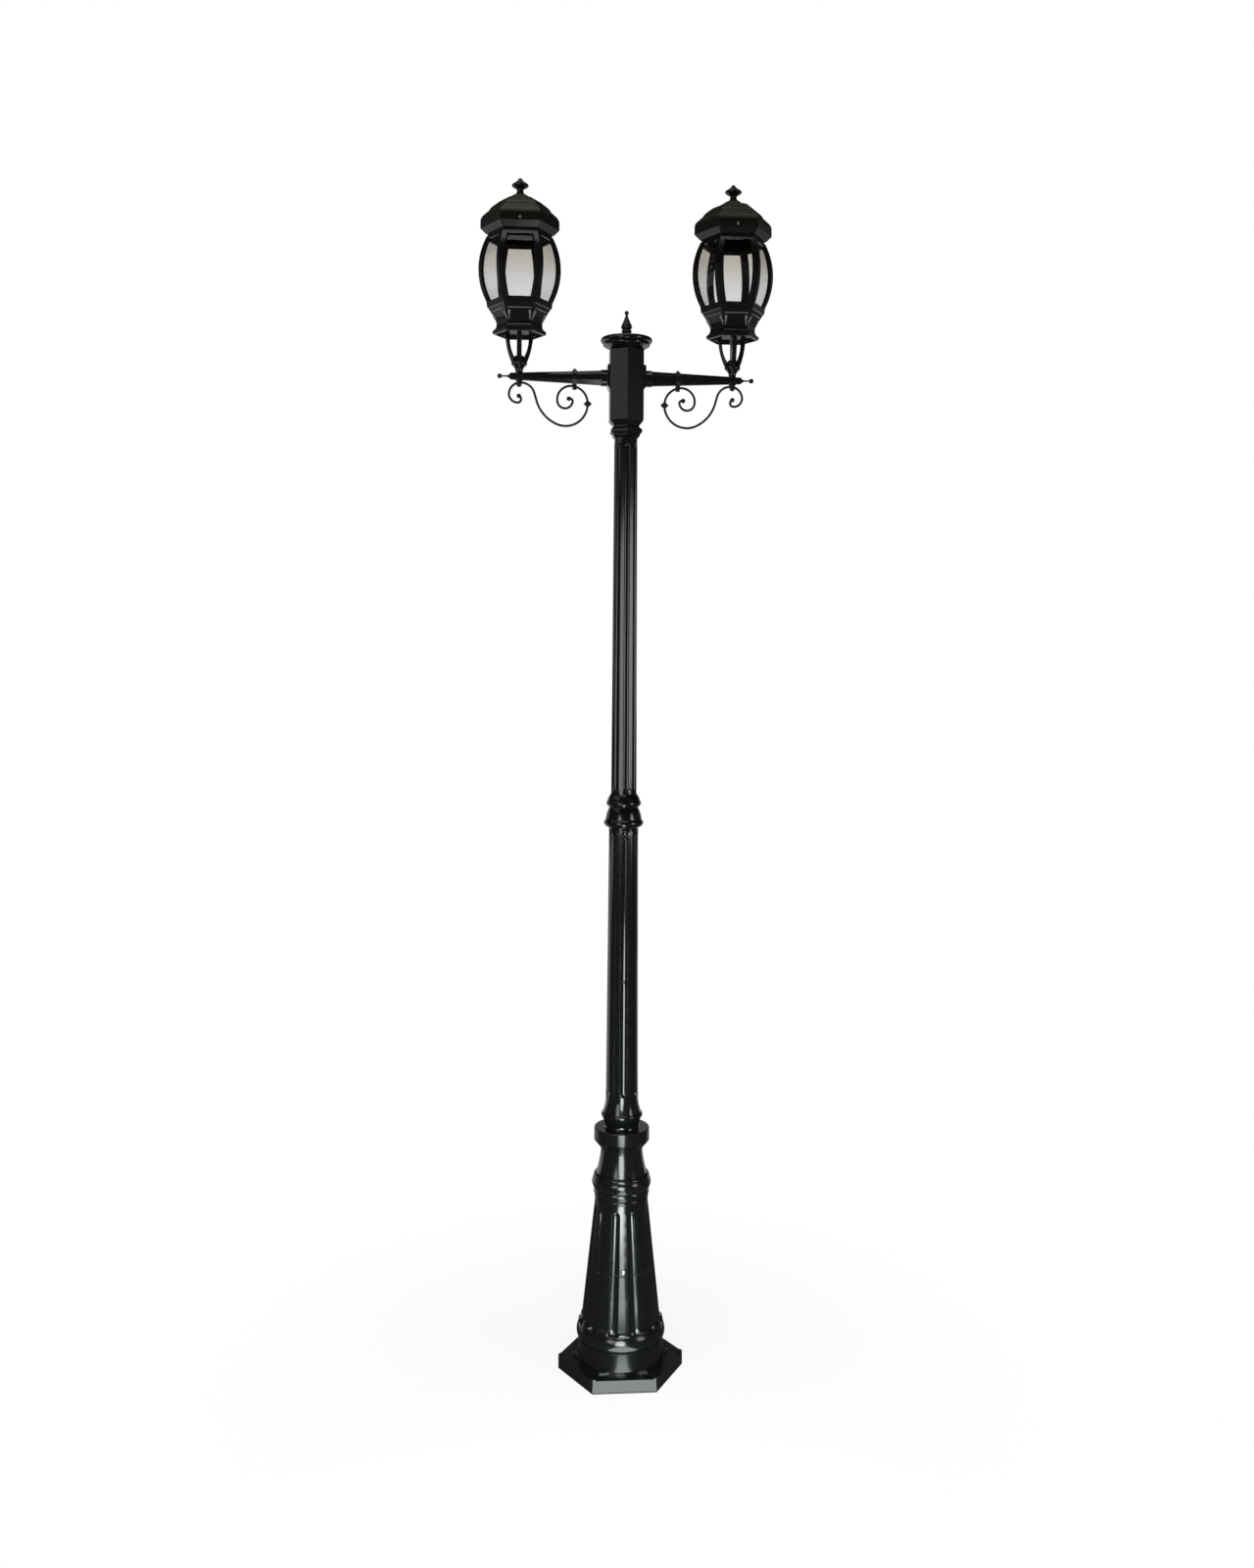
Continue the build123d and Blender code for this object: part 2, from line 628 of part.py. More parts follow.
# Upper pole
high_flute = flute(
    (HIGH_POLE_FOOT_R, high_pole_foot + FLUTE_END_GAP / 2),
    (HIGH_POLE_TOP_R, high_pole_top - FLUTE_END_GAP),
    HIGH_FLUTE_FOOT_W,
    HIGH_FLUTE_TOP_W,
    HIGH_FLUTE_DEPTH,
)
with BuildPart() as upper_pole:
    with BuildSketch(Plane.XZ):
        with BuildLine():
            Polyline(
                (HIGH_POLE_BORE_R, high_pole_foot - COLLAR_HIGH_SPIGOT_H),
                (COLLAR_HIGH_SPIGOT_R, high_pole_foot - COLLAR_HIGH_SPIGOT_H),
                (COLLAR_HIGH_SPIGOT_R, high_pole_foot),
                (HIGH_POLE_FOOT_R, high_pole_foot),
                (HIGH_POLE_TOP_R, high_pole_top),
                (TOP_SPIGOT_R, high_pole_top),
                (TOP_SPIGOT_R, high_pole_top + TOP_SPIGOT_H),
                (TOP_SPIGOT_BORE_R, high_pole_top + TOP_SPIGOT_H),
                (TOP_SPIGOT_BORE_R, high_pole_top - 4),
                (HIGH_POLE_BORE_R, high_pole_top - 10),
                close=True,
            )
        make_face()
    revolve(axis=Axis.Z)
    with PolarLocations(0, POLE_FLUTES, start_angle=FRONT + HIGH_POLE_TURN):
        add(high_flute, mode=Mode.SUBTRACT)
finish(upper_pole.part, "upper_pole")

# Six-sided ring under the column
with BuildSketch() as ring_outline:
    with BuildLine():
        Polyline(
            (0, high_pole_top),
            (HIGH_POLE_TOP_R + 0.8, high_pole_top),
            (RING_BEAD_R, high_pole_top + 3.8),
            (RING_BEAD_R - 0.4, high_pole_top + 6),
            (RING_FLAT / 2, high_pole_top + 10.5),
            (RING_FLAT / 2, high_pole_top + 15.5),
            (COLUMN_FOOT_FLAT / 2 + 0.6, high_pole_top + 20.5),
            (COLUMN_FOOT_FLAT / 2, column_foot),
            (0, column_foot),
            close=True,
        )
    make_face()
ring_body = six_sided(ring_outline, 0, RING_FLAT)
with BuildPart() as column_ring:
    add(ring_body)
    with BuildSketch(Plane.XY.offset(high_pole_top)):
        Circle(TOP_SPIGOT_R + SPIGOT_GAP)
    extrude(amount=RING_H, mode=Mode.SUBTRACT)
finish(column_ring.part, "column_ring")

# Column
with BuildSketch() as column_outline:
    with BuildLine():
        Polyline(
            (0, column_foot),
            (COLUMN_FOOT_FLAT / 2, column_foot),
            (COLUMN_FLAT / 2, column_foot + COLUMN_CHAMFER_H),
            (COLUMN_FLAT / 2, column_top - COLUMN_BEVEL),
            (COLUMN_FLAT / 2 - COLUMN_BEVEL / 2, column_top),
            (0, column_top),
            close=True,
        )
    make_face()
inner_flat = COLUMN_FLAT - 2 * COLUMN_WALL
column_body = six_sided(column_outline, 0, COLUMN_FLAT)
web_top = column_top - WEB_DOWN
arm_hole_r = ARM_THREAD_R + SCREW_GAP
with BuildPart() as column:
    add(column_body)
    with BuildSketch(Plane.XY.offset(column_top)):
        RegularPolygon(inner_flat / 2, 6, major_radius=False, rotation=30)
    extrude(amount=column_foot + COLUMN_FLOOR - column_top, mode=Mode.SUBTRACT)
    with BuildSketch(Plane.XY.offset(column_foot)):
        Circle(TOP_SPIGOT_R + SPIGOT_GAP)
    extrude(amount=COLUMN_FLOOR, mode=Mode.SUBTRACT)
    with BuildSketch(Plane.XY.offset(web_top)):
        Rectangle(WEB_W, inner_flat + COLUMN_WALL)
    extrude(amount=-WEB_H)
    with BuildSketch(Plane.XY.offset(web_top)):
        Circle(STUD_R)
    extrude(amount=-WEB_H, mode=Mode.SUBTRACT)
    with BuildSketch(Plane(origin=(0, 0, arm_z), z_dir=(1, 0, 0))):
        Circle(arm_hole_r)
    extrude(amount=COLUMN_FLAT, both=True, mode=Mode.SUBTRACT)
finish(column.part, "column")

with BuildPart() as terminal_block:
    with BuildSketch(Plane.XY.offset(web_top - WEB_H)):
        Rectangle(BLOCK_X, BLOCK_Y)
    extrude(amount=-BLOCK_H)
    fillet(terminal_block.edges().filter_by(Axis.Z), 1.5)
    with BuildSketch(facing_front(0, -BLOCK_Y / 2, web_top - WEB_H - BLOCK_H / 2)):
        with GridLocations(BLOCK_X / 3, 0, 3, 1):
            Circle(1.6)
    extrude(amount=-BLOCK_Y, mode=Mode.SUBTRACT)
    with Locations((0, 0, web_top - WEB_H)):
        Hole(STUD_R + SCREW_GAP)
finish(terminal_block.part, "terminal_block")

# Cap, stud and finial
with BuildPart() as cap_stud:
    with BuildSketch(Plane.XY.offset(web_top - WEB_H)):
        Circle(STUD_R)
    extrude(amount=cap_top + STUD_IN_FINIAL - 1 - web_top + WEB_H)
finish(cap_stud.part, "cap_stud")

cap_foot = column_top + LIFT_GAP
with BuildPart() as column_cap:
    with BuildSketch(Plane.XZ):
        with BuildLine():
            inner_r = inner_flat / 2 - LIFT_GAP
            Line((0, cap_foot - CAP_SPIGOT_H), (inner_r, cap_foot - CAP_SPIGOT_H))
            Line((inner_r, cap_foot - CAP_SPIGOT_H), (inner_r, cap_foot))
            Line((inner_r, cap_foot), (COLUMN_FLAT / 2, cap_foot))
            cove = ThreePointArc(
                (COLUMN_FLAT / 2, cap_foot),
                (COLUMN_FLAT / 2 + 5.5, cap_foot + 2.2),
                (CAP_BEAD_R - 3, cap_foot + 5.5),
            )
            bead = ThreePointArc(
                cove @ 1, (CAP_BEAD_R, cap_foot + 9), (CAP_BEAD_R - 1.6, cap_foot + 12.6)
            )
            rim = ThreePointArc(
                bead @ 1, (CAP_R, cap_foot + 17.4), (CAP_R - 3.6, cap_foot + 22.4)
            )
            dome = ThreePointArc(rim @ 1, (CAP_R * 0.55, cap_top - 1.6), (FINIAL_FOOT_R + 3, cap_top))
            Line(dome @ 1, (0, cap_top))
            Line((0, cap_top), (0, cap_foot - CAP_SPIGOT_H))
        make_face()
    revolve(axis=Axis.Z)
    with BuildSketch(Plane.XY.offset(cap_foot - CAP_SPIGOT_H)):
        Circle(CAP_BORE_R)
    extrude(amount=CAP_SPIGOT_H + CAP_H - 8, mode=Mode.SUBTRACT)
    with Locations((0, 0, cap_top)):
        Hole(STUD_R + LIFT_GAP)
finish(column_cap.part, "column_cap")

with BuildPart() as column_finial:
    with BuildSketch(Plane.XZ):
        with BuildLine():
            z = cap_top
            ball_z = z + FINIAL_H - FINIAL_BALL_R
            Line((0, z), (FINIAL_FOOT_R, z))
            neck = ThreePointArc((FINIAL_FOOT_R, z), (FINIAL_FOOT_R - 0.6, z + 3), (FINIAL_FOOT_R, z + 6))
            ring = ThreePointArc(neck @ 1, (FINIAL_R - 1.3, z + 8), (FINIAL_R - 2.7, z + 10.5))
            waist = ThreePointArc(ring @ 1, (FINIAL_R - 2.9, z + 12.5), (FINIAL_R - 0.9, z + 15.5))
            belly = ThreePointArc(waist @ 1, (FINIAL_R, z + 18), (FINIAL_R - 1, z + 20.5))
            spire = ThreePointArc(belly @ 1, (5.6, z + 31), (2.3, z + FINIAL_H - 2 * FINIAL_BALL_R))
            knob_low = sqrt(FINIAL_BALL_R**2 - 2.3**2)
            Line(spire @ 1, (2.3, ball_z - knob_low))
            ThreePointArc((2.3, ball_z - knob_low), (FINIAL_BALL_R, ball_z), (0, z + FINIAL_H))
            Line((0, z + FINIAL_H), (0, z))
        make_face()
    revolve(axis=Axis.Z)
    with BuildSketch(Plane.XY.offset(cap_top)):
        Circle(STUD_R + LIFT_GAP)
    extrude(amount=STUD_IN_FINIAL, mode=Mode.SUBTRACT)
finish(column_finial.part, "column_finial")

# Arm and what it carries, made for the +X side
flange_x = COLUMN_FLAT / 2
sleeve_x = flange_x + FLANGE_T
arm_x = sleeve_x + SLEEVE_L


def arm_flat(x):
    """Size over the flats of the tapered arm."""
    return ARM_ROOT_FLAT + (ARM_END_FLAT - ARM_ROOT_FLAT) * (x - arm_x) / (arm_end_x - arm_x)


def across_arm(x):
    """Plane across the arm, its y up."""
    return Plane(origin=(x, 0, arm_z), x_dir=(0, 1, 0), z_dir=(1, 0, 0))


with BuildPart() as arm:
    for x in (arm_x, arm_end_x):
        with BuildSketch(across_arm(x)):
            RegularPolygon(arm_flat(x) / 2, 8, major_radius=False, rotation=22.5)
    loft()
    with BuildSketch(across_arm(sleeve_x)):
        Circle(ARM_SPIGOT_R)
    extrude(amount=SLEEVE_L)
    with BuildSketch(across_arm(flange_x - COLUMN_WALL - ARM_THREAD_IN)):
        Circle(ARM_THREAD_R)
    extrude(amount=COLUMN_WALL + ARM_THREAD_IN + FLANGE_T)
    with BuildSketch(level(ARM_REACH, arm_z - BOSS_DOWN)):
        Circle(BOSS_R)
    extrude(amount=BOSS_DOWN + BOSS_UP)
    with BuildSketch(across_arm(flange_x - COLUMN_WALL - ARM_THREAD_IN)):
        Circle(ARM_BORE_R)
    extrude(amount=ARM_REACH - flange_x + COLUMN_WALL + ARM_THREAD_IN, mode=Mode.SUBTRACT)
    with BuildSketch(level(ARM_REACH, arm_z - BOSS_DOWN)):
        Circle(STEM_R + SCREW_GAP)
    extrude(amount=BOSS_DOWN + BOSS_UP, mode=Mode.SUBTRACT)

arm_screw_x = sleeve_x + SLEEVE_L / 2
with BuildPart() as arm_flange:
    with BuildSketch(facing_front(flange_x, 0, arm_z)):
        Polygon(
            (0, -FLANGE_H / 2),
            (FLANGE_T - FLANGE_CHAMFER, -FLANGE_H / 2),
            (FLANGE_T, -FLANGE_H / 2 + 2 * FLANGE_CHAMFER),
            (FLANGE_T, FLANGE_H / 2 - 1),
            (FLANGE_T - 1, FLANGE_H / 2),
            (0, FLANGE_H / 2),
            align=None,
        )
    extrude(amount=FLANGE_W / 2, both=True)
    with BuildSketch(across_arm(sleeve_x)):
        Circle(SLEEVE_R)
    extrude(amount=SLEEVE_L)
    with BuildSketch(across_arm(sleeve_x)):
        Circle(ARM_SPIGOT_R + SPIGOT_GAP)
    extrude(amount=SLEEVE_L, mode=Mode.SUBTRACT)
    with BuildSketch(across_arm(flange_x)):
        Circle(ARM_THREAD_R + SCREW_GAP)
    extrude(amount=FLANGE_T, mode=Mode.SUBTRACT)
    with BuildSketch(facing_front(arm_screw_x, 0, arm_z)):
        Circle(ARM_SCREW_R + SCREW_GAP)
    extrude(amount=SLEEVE_R + 1, mode=Mode.SUBTRACT)

with BuildPart() as arm_screw:
    with BuildSketch(facing_front(arm_screw_x, -ARM_SPIGOT_R, arm_z)):
        Circle(ARM_SCREW_R)
    extrude(amount=SLEEVE_R - ARM_SPIGOT_R - 1)

nut_x = flange_x - COLUMN_WALL
with BuildPart() as arm_nut:
    with BuildSketch(across_arm(nut_x)):
        RegularPolygon(ARM_NUT_FLAT / 2, 6, major_radius=False)
        Circle(ARM_THREAD_R + SCREW_GAP / 2, mode=Mode.SUBTRACT)
    extrude(amount=-ARM_NUT_H)

with BuildPart() as arm_tip:
    with BuildSketch(facing_front(arm_end_x, 0, arm_z)):
        with BuildLine():
            ball_x = TIP_L - TIP_BALL_R
            ball_start = ball_x - sqrt(TIP_BALL_R**2 - TIP_NECK_R**2)
            Line((0, 0), (0, ARM_END_FLAT / 2 - 0.3))
            cone = ThreePointArc((0, ARM_END_FLAT / 2 - 0.3), (3, 3.6), (7, TIP_NECK_R))
            Line(cone @ 1, (ball_start, TIP_NECK_R))
            ThreePointArc((ball_start, TIP_NECK_R), (ball_x, TIP_BALL_R), (TIP_L, 0))
            Line((TIP_L, 0), (0, 0))
        make_face()
    revolve(axis=Axis((0, 0, arm_z), (1, 0, 0)))


def scroll_rod(rod_r):
    """The scroll's rod, or a thicker one to cut its way through what holds it."""
    with BuildPart() as rod:
        with BuildLine(facing_front(0, 0, arm_z)) as path:
            heading = radians(SCROLL_HEADING)
            start = (ARM_REACH + SCROLL_START[0], SCROLL_START[1])
            tangent = (cos(heading), sin(heading))
            for radius, turn in SCROLL_ARCS:
                arc = JernArc(start=start, tangent=tangent, radius=radius, arc_size=turn)
                start, tangent = arc @ 1, arc % 1
        with BuildSketch(Plane(origin=path.wires()[0] @ 0, z_dir=path.wires()[0] % 0)):
            Circle(rod_r)
        sweep()
    return rod.part, path.wires()[0]


rod, rod_path = scroll_rod(ROD_R)
rod_way, _ = scroll_rod(ROD_R + ROD_GAP)
with BuildPart() as scroll:
    add(rod)
    with Locations(rod_path @ 0, rod_path @ 1):
        Sphere(SCROLL_BALL_R)

# The rod runs straight up where its knot sits
knot_at = min((rod_path @ (i / 400) for i in range(401)), key=lambda p: p.X)
with BuildPart() as scroll_knot:
    with BuildSketch(facing_front(*knot_at)):
        Polygon(
            (0, -KNOT_H / 2),
            (ROD_R + 1.2, -KNOT_H / 2),
            (KNOT_R, 0),
            (ROD_R + 1.2, KNOT_H / 2),
            (0, KNOT_H / 2),
            align=None,
        )
    revolve(axis=Axis(knot_at, (0, 0, 1)))
    add(rod_way, mode=Mode.SUBTRACT)

clamp_half = arm_flat(clamp_x) / 2 + CLAMP_T
with BuildPart() as scroll_clamp:
    with BuildSketch(across_arm(clamp_x - CLAMP_W / 2)):
        RegularPolygon(clamp_half, 8, major_radius=False, rotation=22.5)
    extrude(amount=CLAMP_W)
    with BuildSketch(level(clamp_x, arm_z)):
        Circle(CLAMP_LUG_R)
    extrude(amount=-clamp_half - CLAMP_LUG_H)
    with BuildSketch(level(clamp_x, arm_z + clamp_half - 0.5)):
        Circle(CLAMP_LUG_R - 1)
    extrude(amount=CLAMP_POINT_H, taper=28)
    for x in (arm_x, arm_end_x):
        with BuildSketch(across_arm(x)):
            RegularPolygon(arm_flat(x) / 2 + SPIGOT_GAP, 8, major_radius=False, rotation=22.5)
    loft(mode=Mode.SUBTRACT)
    add(rod_way, mode=Mode.SUBTRACT)

with BuildPart() as cap_nut:
    with BuildSketch(facing_front(ARM_REACH, 0, arm_z - BOSS_DOWN)):
        with BuildLine():
            Line((0, 0), (CAP_NUT_R, 0))
            Line((CAP_NUT_R, 0), (CAP_NUT_R, CAP_NUT_R - CAP_NUT_H))
            slant = CAP_NUT_R * sqrt(0.5)
            ThreePointArc(
                (CAP_NUT_R, CAP_NUT_R - CAP_NUT_H), (slant, CAP_NUT_R - CAP_NUT_H - slant), (0, -CAP_NUT_H)
            )
            Line((0, -CAP_NUT_H), (0, 0))
        make_face()
    revolve(axis=Axis((ARM_REACH, 0, 0), (0, 0, 1)))
    add(rod_way, mode=Mode.SUBTRACT)

# Lantern, made on its own axis with heights from the arm's axis
foot_z = BASKET_FOOT
floor_z = CARRIER_TOP + BASKET_FLOOR
with BuildPart() as stem:
    with BuildSketch(Plane.XY.offset(-BOSS_DOWN)):
        Circle(STEM_R)
        Circle(STEM_BORE_R, mode=Mode.SUBTRACT)
    extrude(amount=floor_z + STEM_DOWN + BOSS_DOWN)
    with BuildSketch(Plane.YZ):
        Circle(STEM_BORE_R - 0.5)
    extrude(amount=-STEM_R - 1, mode=Mode.SUBTRACT)

with BuildPart() as tripod:
    with BuildSketch(Plane.XZ):
        with BuildLine():
            Line((STEM_R + SCREW_GAP, BOSS_UP), (TULIP_NECK_R, BOSS_UP))
            rise = ThreePointArc((TULIP_NECK_R, BOSS_UP), (TULIP_NECK_R + 1.8, 16), (TULIP_R - 1.5, 21.5))
            belly = ThreePointArc(rise @ 1, (TULIP_R, 25), (TULIP_R - 1.4, 29))
            shoulder = ThreePointArc(belly @ 1, (TULIP_R - 4.2, 36), (TULIP_NECK_R, HUB_TOP))
            Line(shoulder @ 1, (STEM_R + SCREW_GAP, HUB_TOP))
            Line((STEM_R + SCREW_GAP, HUB_TOP), (STEM_R + SCREW_GAP, BOSS_UP))
        make_face()
    revolve(axis=Axis.Z)
    pad_low = CARRIER_TOP - PAD_T
    for turn in THIRDS:
        with BuildSketch(upright(turn)):
            with BuildLine():
                outer = ThreePointArc(
                    (TULIP_R - 3, 24), (LEG_BOW_R + LEG_T / 2, LEG_BOW_Z), (LEG_R + LEG_T / 2, pad_low + 1)
                )
                Line(outer @ 1, (LEG_R - LEG_T / 2, pad_low + 1))
                inner = ThreePointArc(
                    (LEG_R - LEG_T / 2, pad_low + 1), (LEG_BOW_R - LEG_T / 2, LEG_BOW_Z), (TULIP_R - 8, 33)
                )
                Line(inner @ 1, outer @ 0)
            make_face()
        extrude(amount=LEG_W / 2, both=True)
        outward = upright(turn).x_dir
        with BuildSketch(Plane.XY.offset(pad_low)):
            with Locations(outward * PAD_OUT):
                Circle(PAD_R)
            with Locations(outward * ((PAD_OUT + LEG_R - LEG_T / 2) / 2)):
                Rectangle(PAD_OUT - LEG_R + LEG_T / 2, LEG_W, rotation=turn)
        extrude(amount=PAD_T)
        with BuildSketch(Plane.XY.offset(pad_low)):
            with Locations(outward * PAD_OUT):
                Circle(LEG_SCREW_R + SCREW_GAP)
        extrude(amount=PAD_T, mode=Mode.SUBTRACT)

with BuildPart() as tripod_screws:
    for turn in THIRDS:
        outward = upright(turn).x_dir
        with BuildSketch(Plane.XY.offset(pad_low)):
            with Locations(outward * PAD_OUT):
                Circle(LEG_SCREW_R)
        extrude(amount=PAD_T + BASKET_FLOOR)
        with BuildSketch(Plane.XY.offset(pad_low)):
            with Locations(outward * PAD_OUT):
                Circle(LEG_SCREW_HEAD_R)
        extrude(amount=-2.2, taper=30)

with BuildSketch() as basket_outline:
    with BuildLine():
        Line((0, foot_z), (FOOT_RIM - FOOT_RIM_ROUND, foot_z))
        ThreePointArc(
            (FOOT_RIM - FOOT_RIM_ROUND, foot_z),
            (FOOT_RIM - FOOT_RIM_ROUND * 0.3, foot_z + FOOT_RIM_ROUND * 0.3),
            (FOOT_RIM, foot_z + FOOT_RIM_ROUND),
        )
        Line((FOOT_RIM, foot_z + FOOT_RIM_ROUND), (FOOT_RIM, foot_z + FOOT_RIM_H))
        low = ThreePointArc(
            (FOOT_RIM, foot_z + FOOT_RIM_H), (WAIST + 1.3, foot_z + 13), (WAIST, WAIST_Z)
        )
        high = ThreePointArc(low @ 1, (WAIST + 0.8, WAIST_Z + 7), (WAIST + 3.6, WAIST_Z + 14))
        slope = Line(high @ 1, (BASKET_RIM - 3.4, BASKET_TOP - 13))
        Line(slope @ 1, (BASKET_RIM - 1.6, BASKET_TOP - 12))
        ThreePointArc(
            (BASKET_RIM - 1.6, BASKET_TOP - 12), (BASKET_RIM - 0.6, BASKET_TOP - 6), (BASKET_RIM, BASKET_TOP)
        )
        Line((BASKET_RIM, BASKET_TOP), (0, BASKET_TOP))
        Line((0, BASKET_TOP), (0, foot_z))
    make_face()
with BuildSketch() as basket_hollow:
    with BuildLine():
        Polyline(
            (0, floor_z),
            (WAIST - BASKET_WALL - 1, floor_z),
            (WAIST - BASKET_WALL, WAIST_Z),
            (WAIST - BASKET_WALL + 0.6, WAIST_Z + 8),
            (BASKET_RIM - BASKET_WALL - 5.4, BASKET_TOP - 12),
            (BASKET_RIM - CAGE_WALL - PANE_T - 2, BASKET_TOP - GLASS_LEDGE),
            (BASKET_RIM - CAGE_WALL + PANE_GAP / 2, BASKET_TOP - GLASS_LEDGE),
            (BASKET_RIM - CAGE_WALL + PANE_GAP / 2, BASKET_TOP + 1),
            (0, BASKET_TOP + 1),
            close=True,
        )
    make_face()
with BuildSketch() as basket_foot_hollow:
    with BuildLine():
        Polyline(
            (0, foot_z - 1),
            (FOOT_RIM - FOOT_RIM_ROUND - 1.4, foot_z - 1),
            (FOOT_RIM - FOOT_RIM_ROUND - 2.8, CARRIER_TOP),
            (0, CARRIER_TOP),
            close=True,
        )
    make_face()
basket_body = six_sided(basket_outline, FRONT, 2 * BASKET_RIM)
basket_inside = six_sided(basket_hollow, FRONT, 2 * BASKET_RIM)
basket_under = six_sided(basket_foot_hollow, FRONT, 2 * BASKET_RIM)
with BuildPart() as basket:
    add(basket_body)
    add(basket_inside, mode=Mode.SUBTRACT)
    add(basket_under, mode=Mode.SUBTRACT)
    with BuildSketch(Plane.XY.offset(CARRIER_TOP)):
        Circle(STEM_R + SCREW_GAP)
        for turn in THIRDS:
            with Locations(upright(turn).x_dir * PAD_OUT):
                Circle(LEG_SCREW_R + SCREW_GAP)
    extrude(amount=BASKET_FLOOR, mode=Mode.SUBTRACT)

with BuildPart() as lamp_holder:
    with BuildSketch(Plane.XZ):
        with BuildLine():
            Line((0, floor_z), (HOLDER_R - 4, floor_z))
            Line((HOLDER_R - 4, floor_z), (HOLDER_R - 4, floor_z + 8))
            Line((HOLDER_R - 4, floor_z + 8), (HOLDER_R, floor_z + 12))
            Line((HOLDER_R, floor_z + 12), (HOLDER_R, floor_z + HOLDER_H - 2))
            Line((HOLDER_R, floor_z + HOLDER_H - 2), (HOLDER_R - 2, floor_z + HOLDER_H))
            Line((HOLDER_R - 2, floor_z + HOLDER_H), (0, floor_z + HOLDER_H))
            Line((0, floor_z + HOLDER_H), (0, floor_z))
        make_face()
    revolve(axis=Axis.Z)
    with BuildSketch(Plane.XY.offset(floor_z + HOLDER_H)):
        Circle(SOCKET_R)
    extrude(amount=-SOCKET_DEPTH, mode=Mode.SUBTRACT)
    with BuildSketch(Plane.XY.offset(floor_z)):
        Circle(STEM_R + SCREW_GAP)
    extrude(amount=STEM_DOWN + 1, mode=Mode.SUBTRACT)


def cage_belly_outline(inset, low, high):
    """Half section over a flat inside the cage's curved line, moved in by inset."""
    swell = CAGE_BELLY - BASKET_RIM
    radius = ((CAGE_BELLY_Z - BASKET_TOP) ** 2 + swell**2) / (2 * swell)

    def flat_at(z):
        return CAGE_BELLY - inset - radius + sqrt(radius**2 - (z - CAGE_BELLY_Z) ** 2)

    with BuildSketch() as outline:
        with BuildLine():
            Line((0, low), (flat_at(low), low))
            ThreePointArc((flat_at(low), low), (flat_at(CAGE_BELLY_Z), CAGE_BELLY_Z), (flat_at(high), high))
            Line((flat_at(high), high), (0, high))
            Line((0, high), (0, low))
        make_face()
    return outline


cage_body = six_sided(cage_belly_outline(0, BASKET_TOP, CAGE_TOP), FRONT, 2 * CAGE_BELLY)
cage_inside = six_sided(cage_belly_outline(CAGE_WALL, BASKET_TOP - 1, CAGE_TOP), FRONT, 2 * CAGE_BELLY)
collar_top = CAGE_TOP + CAGE_COLLAR_H
with BuildPart() as cage:
    add(cage_body)
    with BuildSketch(Plane.XY.offset(CAGE_TOP)):
        RegularPolygon(COLLAR_FLAT, 6, major_radius=False, rotation=0)
    extrude(amount=CAGE_COLLAR_H)
    add(cage_inside, mode=Mode.SUBTRACT)
    with BuildSketch(Plane.XY.offset(CAGE_TOP - 1)):
        RegularPolygon(COLLAR_FLAT - CAGE_WALL, 6, major_radius=False, rotation=0)
    extrude(amount=CAGE_COLLAR_H + 1, mode=Mode.SUBTRACT)
    wedge_tip = RIB_W * cos(radians(30)) / sin(radians(30))
    wedge_far = 2 * CAGE_BELLY
    wedge_w = (wedge_far - wedge_tip) * tan(radians(30))
    with BuildSketch(Plane.XY.offset(BASKET_TOP - 1)):
        with PolarLocations(0, 6, start_angle=FRONT):
            Polygon((wedge_tip, 0), (wedge_far, -wedge_w), (wedge_far, wedge_w), align=None)
    extrude(amount=WINDOW_TOP - BASKET_TOP + 1, mode=Mode.SUBTRACT)

pane_foot = BASKET_TOP - GLASS_LEDGE
pane_body = six_sided(cage_belly_outline(CAGE_WALL + PANE_GAP, pane_foot, PANE_TOP), FRONT, 2 * CAGE_BELLY)
pane_inside = six_sided(
    cage_belly_outline(CAGE_WALL + PANE_GAP + PANE_T, pane_foot - 1, PANE_TOP + 1), FRONT, 2 * CAGE_BELLY
)
with BuildPart() as glass:
    add(pane_body)
    add(pane_inside, mode=Mode.SUBTRACT)
    with BuildSketch(Plane.XY.offset(pane_foot)):
        with PolarLocations(CAGE_BELLY, 6):
            Rectangle(2 * CAGE_BELLY, PANE_SPLIT)
    extrude(amount=PANE_TOP - pane_foot, mode=Mode.SUBTRACT)

# Roof: hollow six-sided hood over the collar
eave_foot = collar_top - EAVE_H + 5
eave_top = eave_foot + EAVE_H
flange_z = collar_top + LIFT_GAP
slope_top = eave_top + ROOF_SLOPE_H
mouth = COLLAR_FLAT + 0.8
with BuildSketch() as roof_outline:
    with BuildLine():
        Line((0, eave_foot - EAVE_CHAMFER_H), (mouth + 2.4, eave_foot - EAVE_CHAMFER_H))
        Line((mouth + 2.4, eave_foot - EAVE_CHAMFER_H), (EAVE, eave_foot))
        Line((EAVE, eave_foot), (EAVE, eave_top))
        brow = ThreePointArc((EAVE, eave_top), (EAVE - 1.4, eave_top + 7), (EAVE - 5.4, eave_top + 13))
        skirt = Line(brow @ 1, (ROOF_STEP + 1.6, eave_top + 24))
        Line(skirt @ 1, (ROOF_STEP + 1.6 - ROOF_LEDGE, eave_top + 25.5))
        Line((ROOF_STEP + 1.6 - ROOF_LEDGE, eave_top + 25.5), (ROOF_SHOULDER, slope_top))
        Line((ROOF_SHOULDER, slope_top), (DOME_FOOT, slope_top + 1.5))
        ThreePointArc(
            (DOME_FOOT, slope_top + 1.5),
            (DOME_FOOT - 3, slope_top + 7.5),
            (DOME_TOP, slope_top + DOME_H + 1.5),
        )
        Line((DOME_TOP, slope_top + DOME_H + 1.5), (0, slope_top + DOME_H + 4.5))
        Line((0, slope_top + DOME_H + 4.5), (0, eave_foot - EAVE_CHAMFER_H))
    make_face()
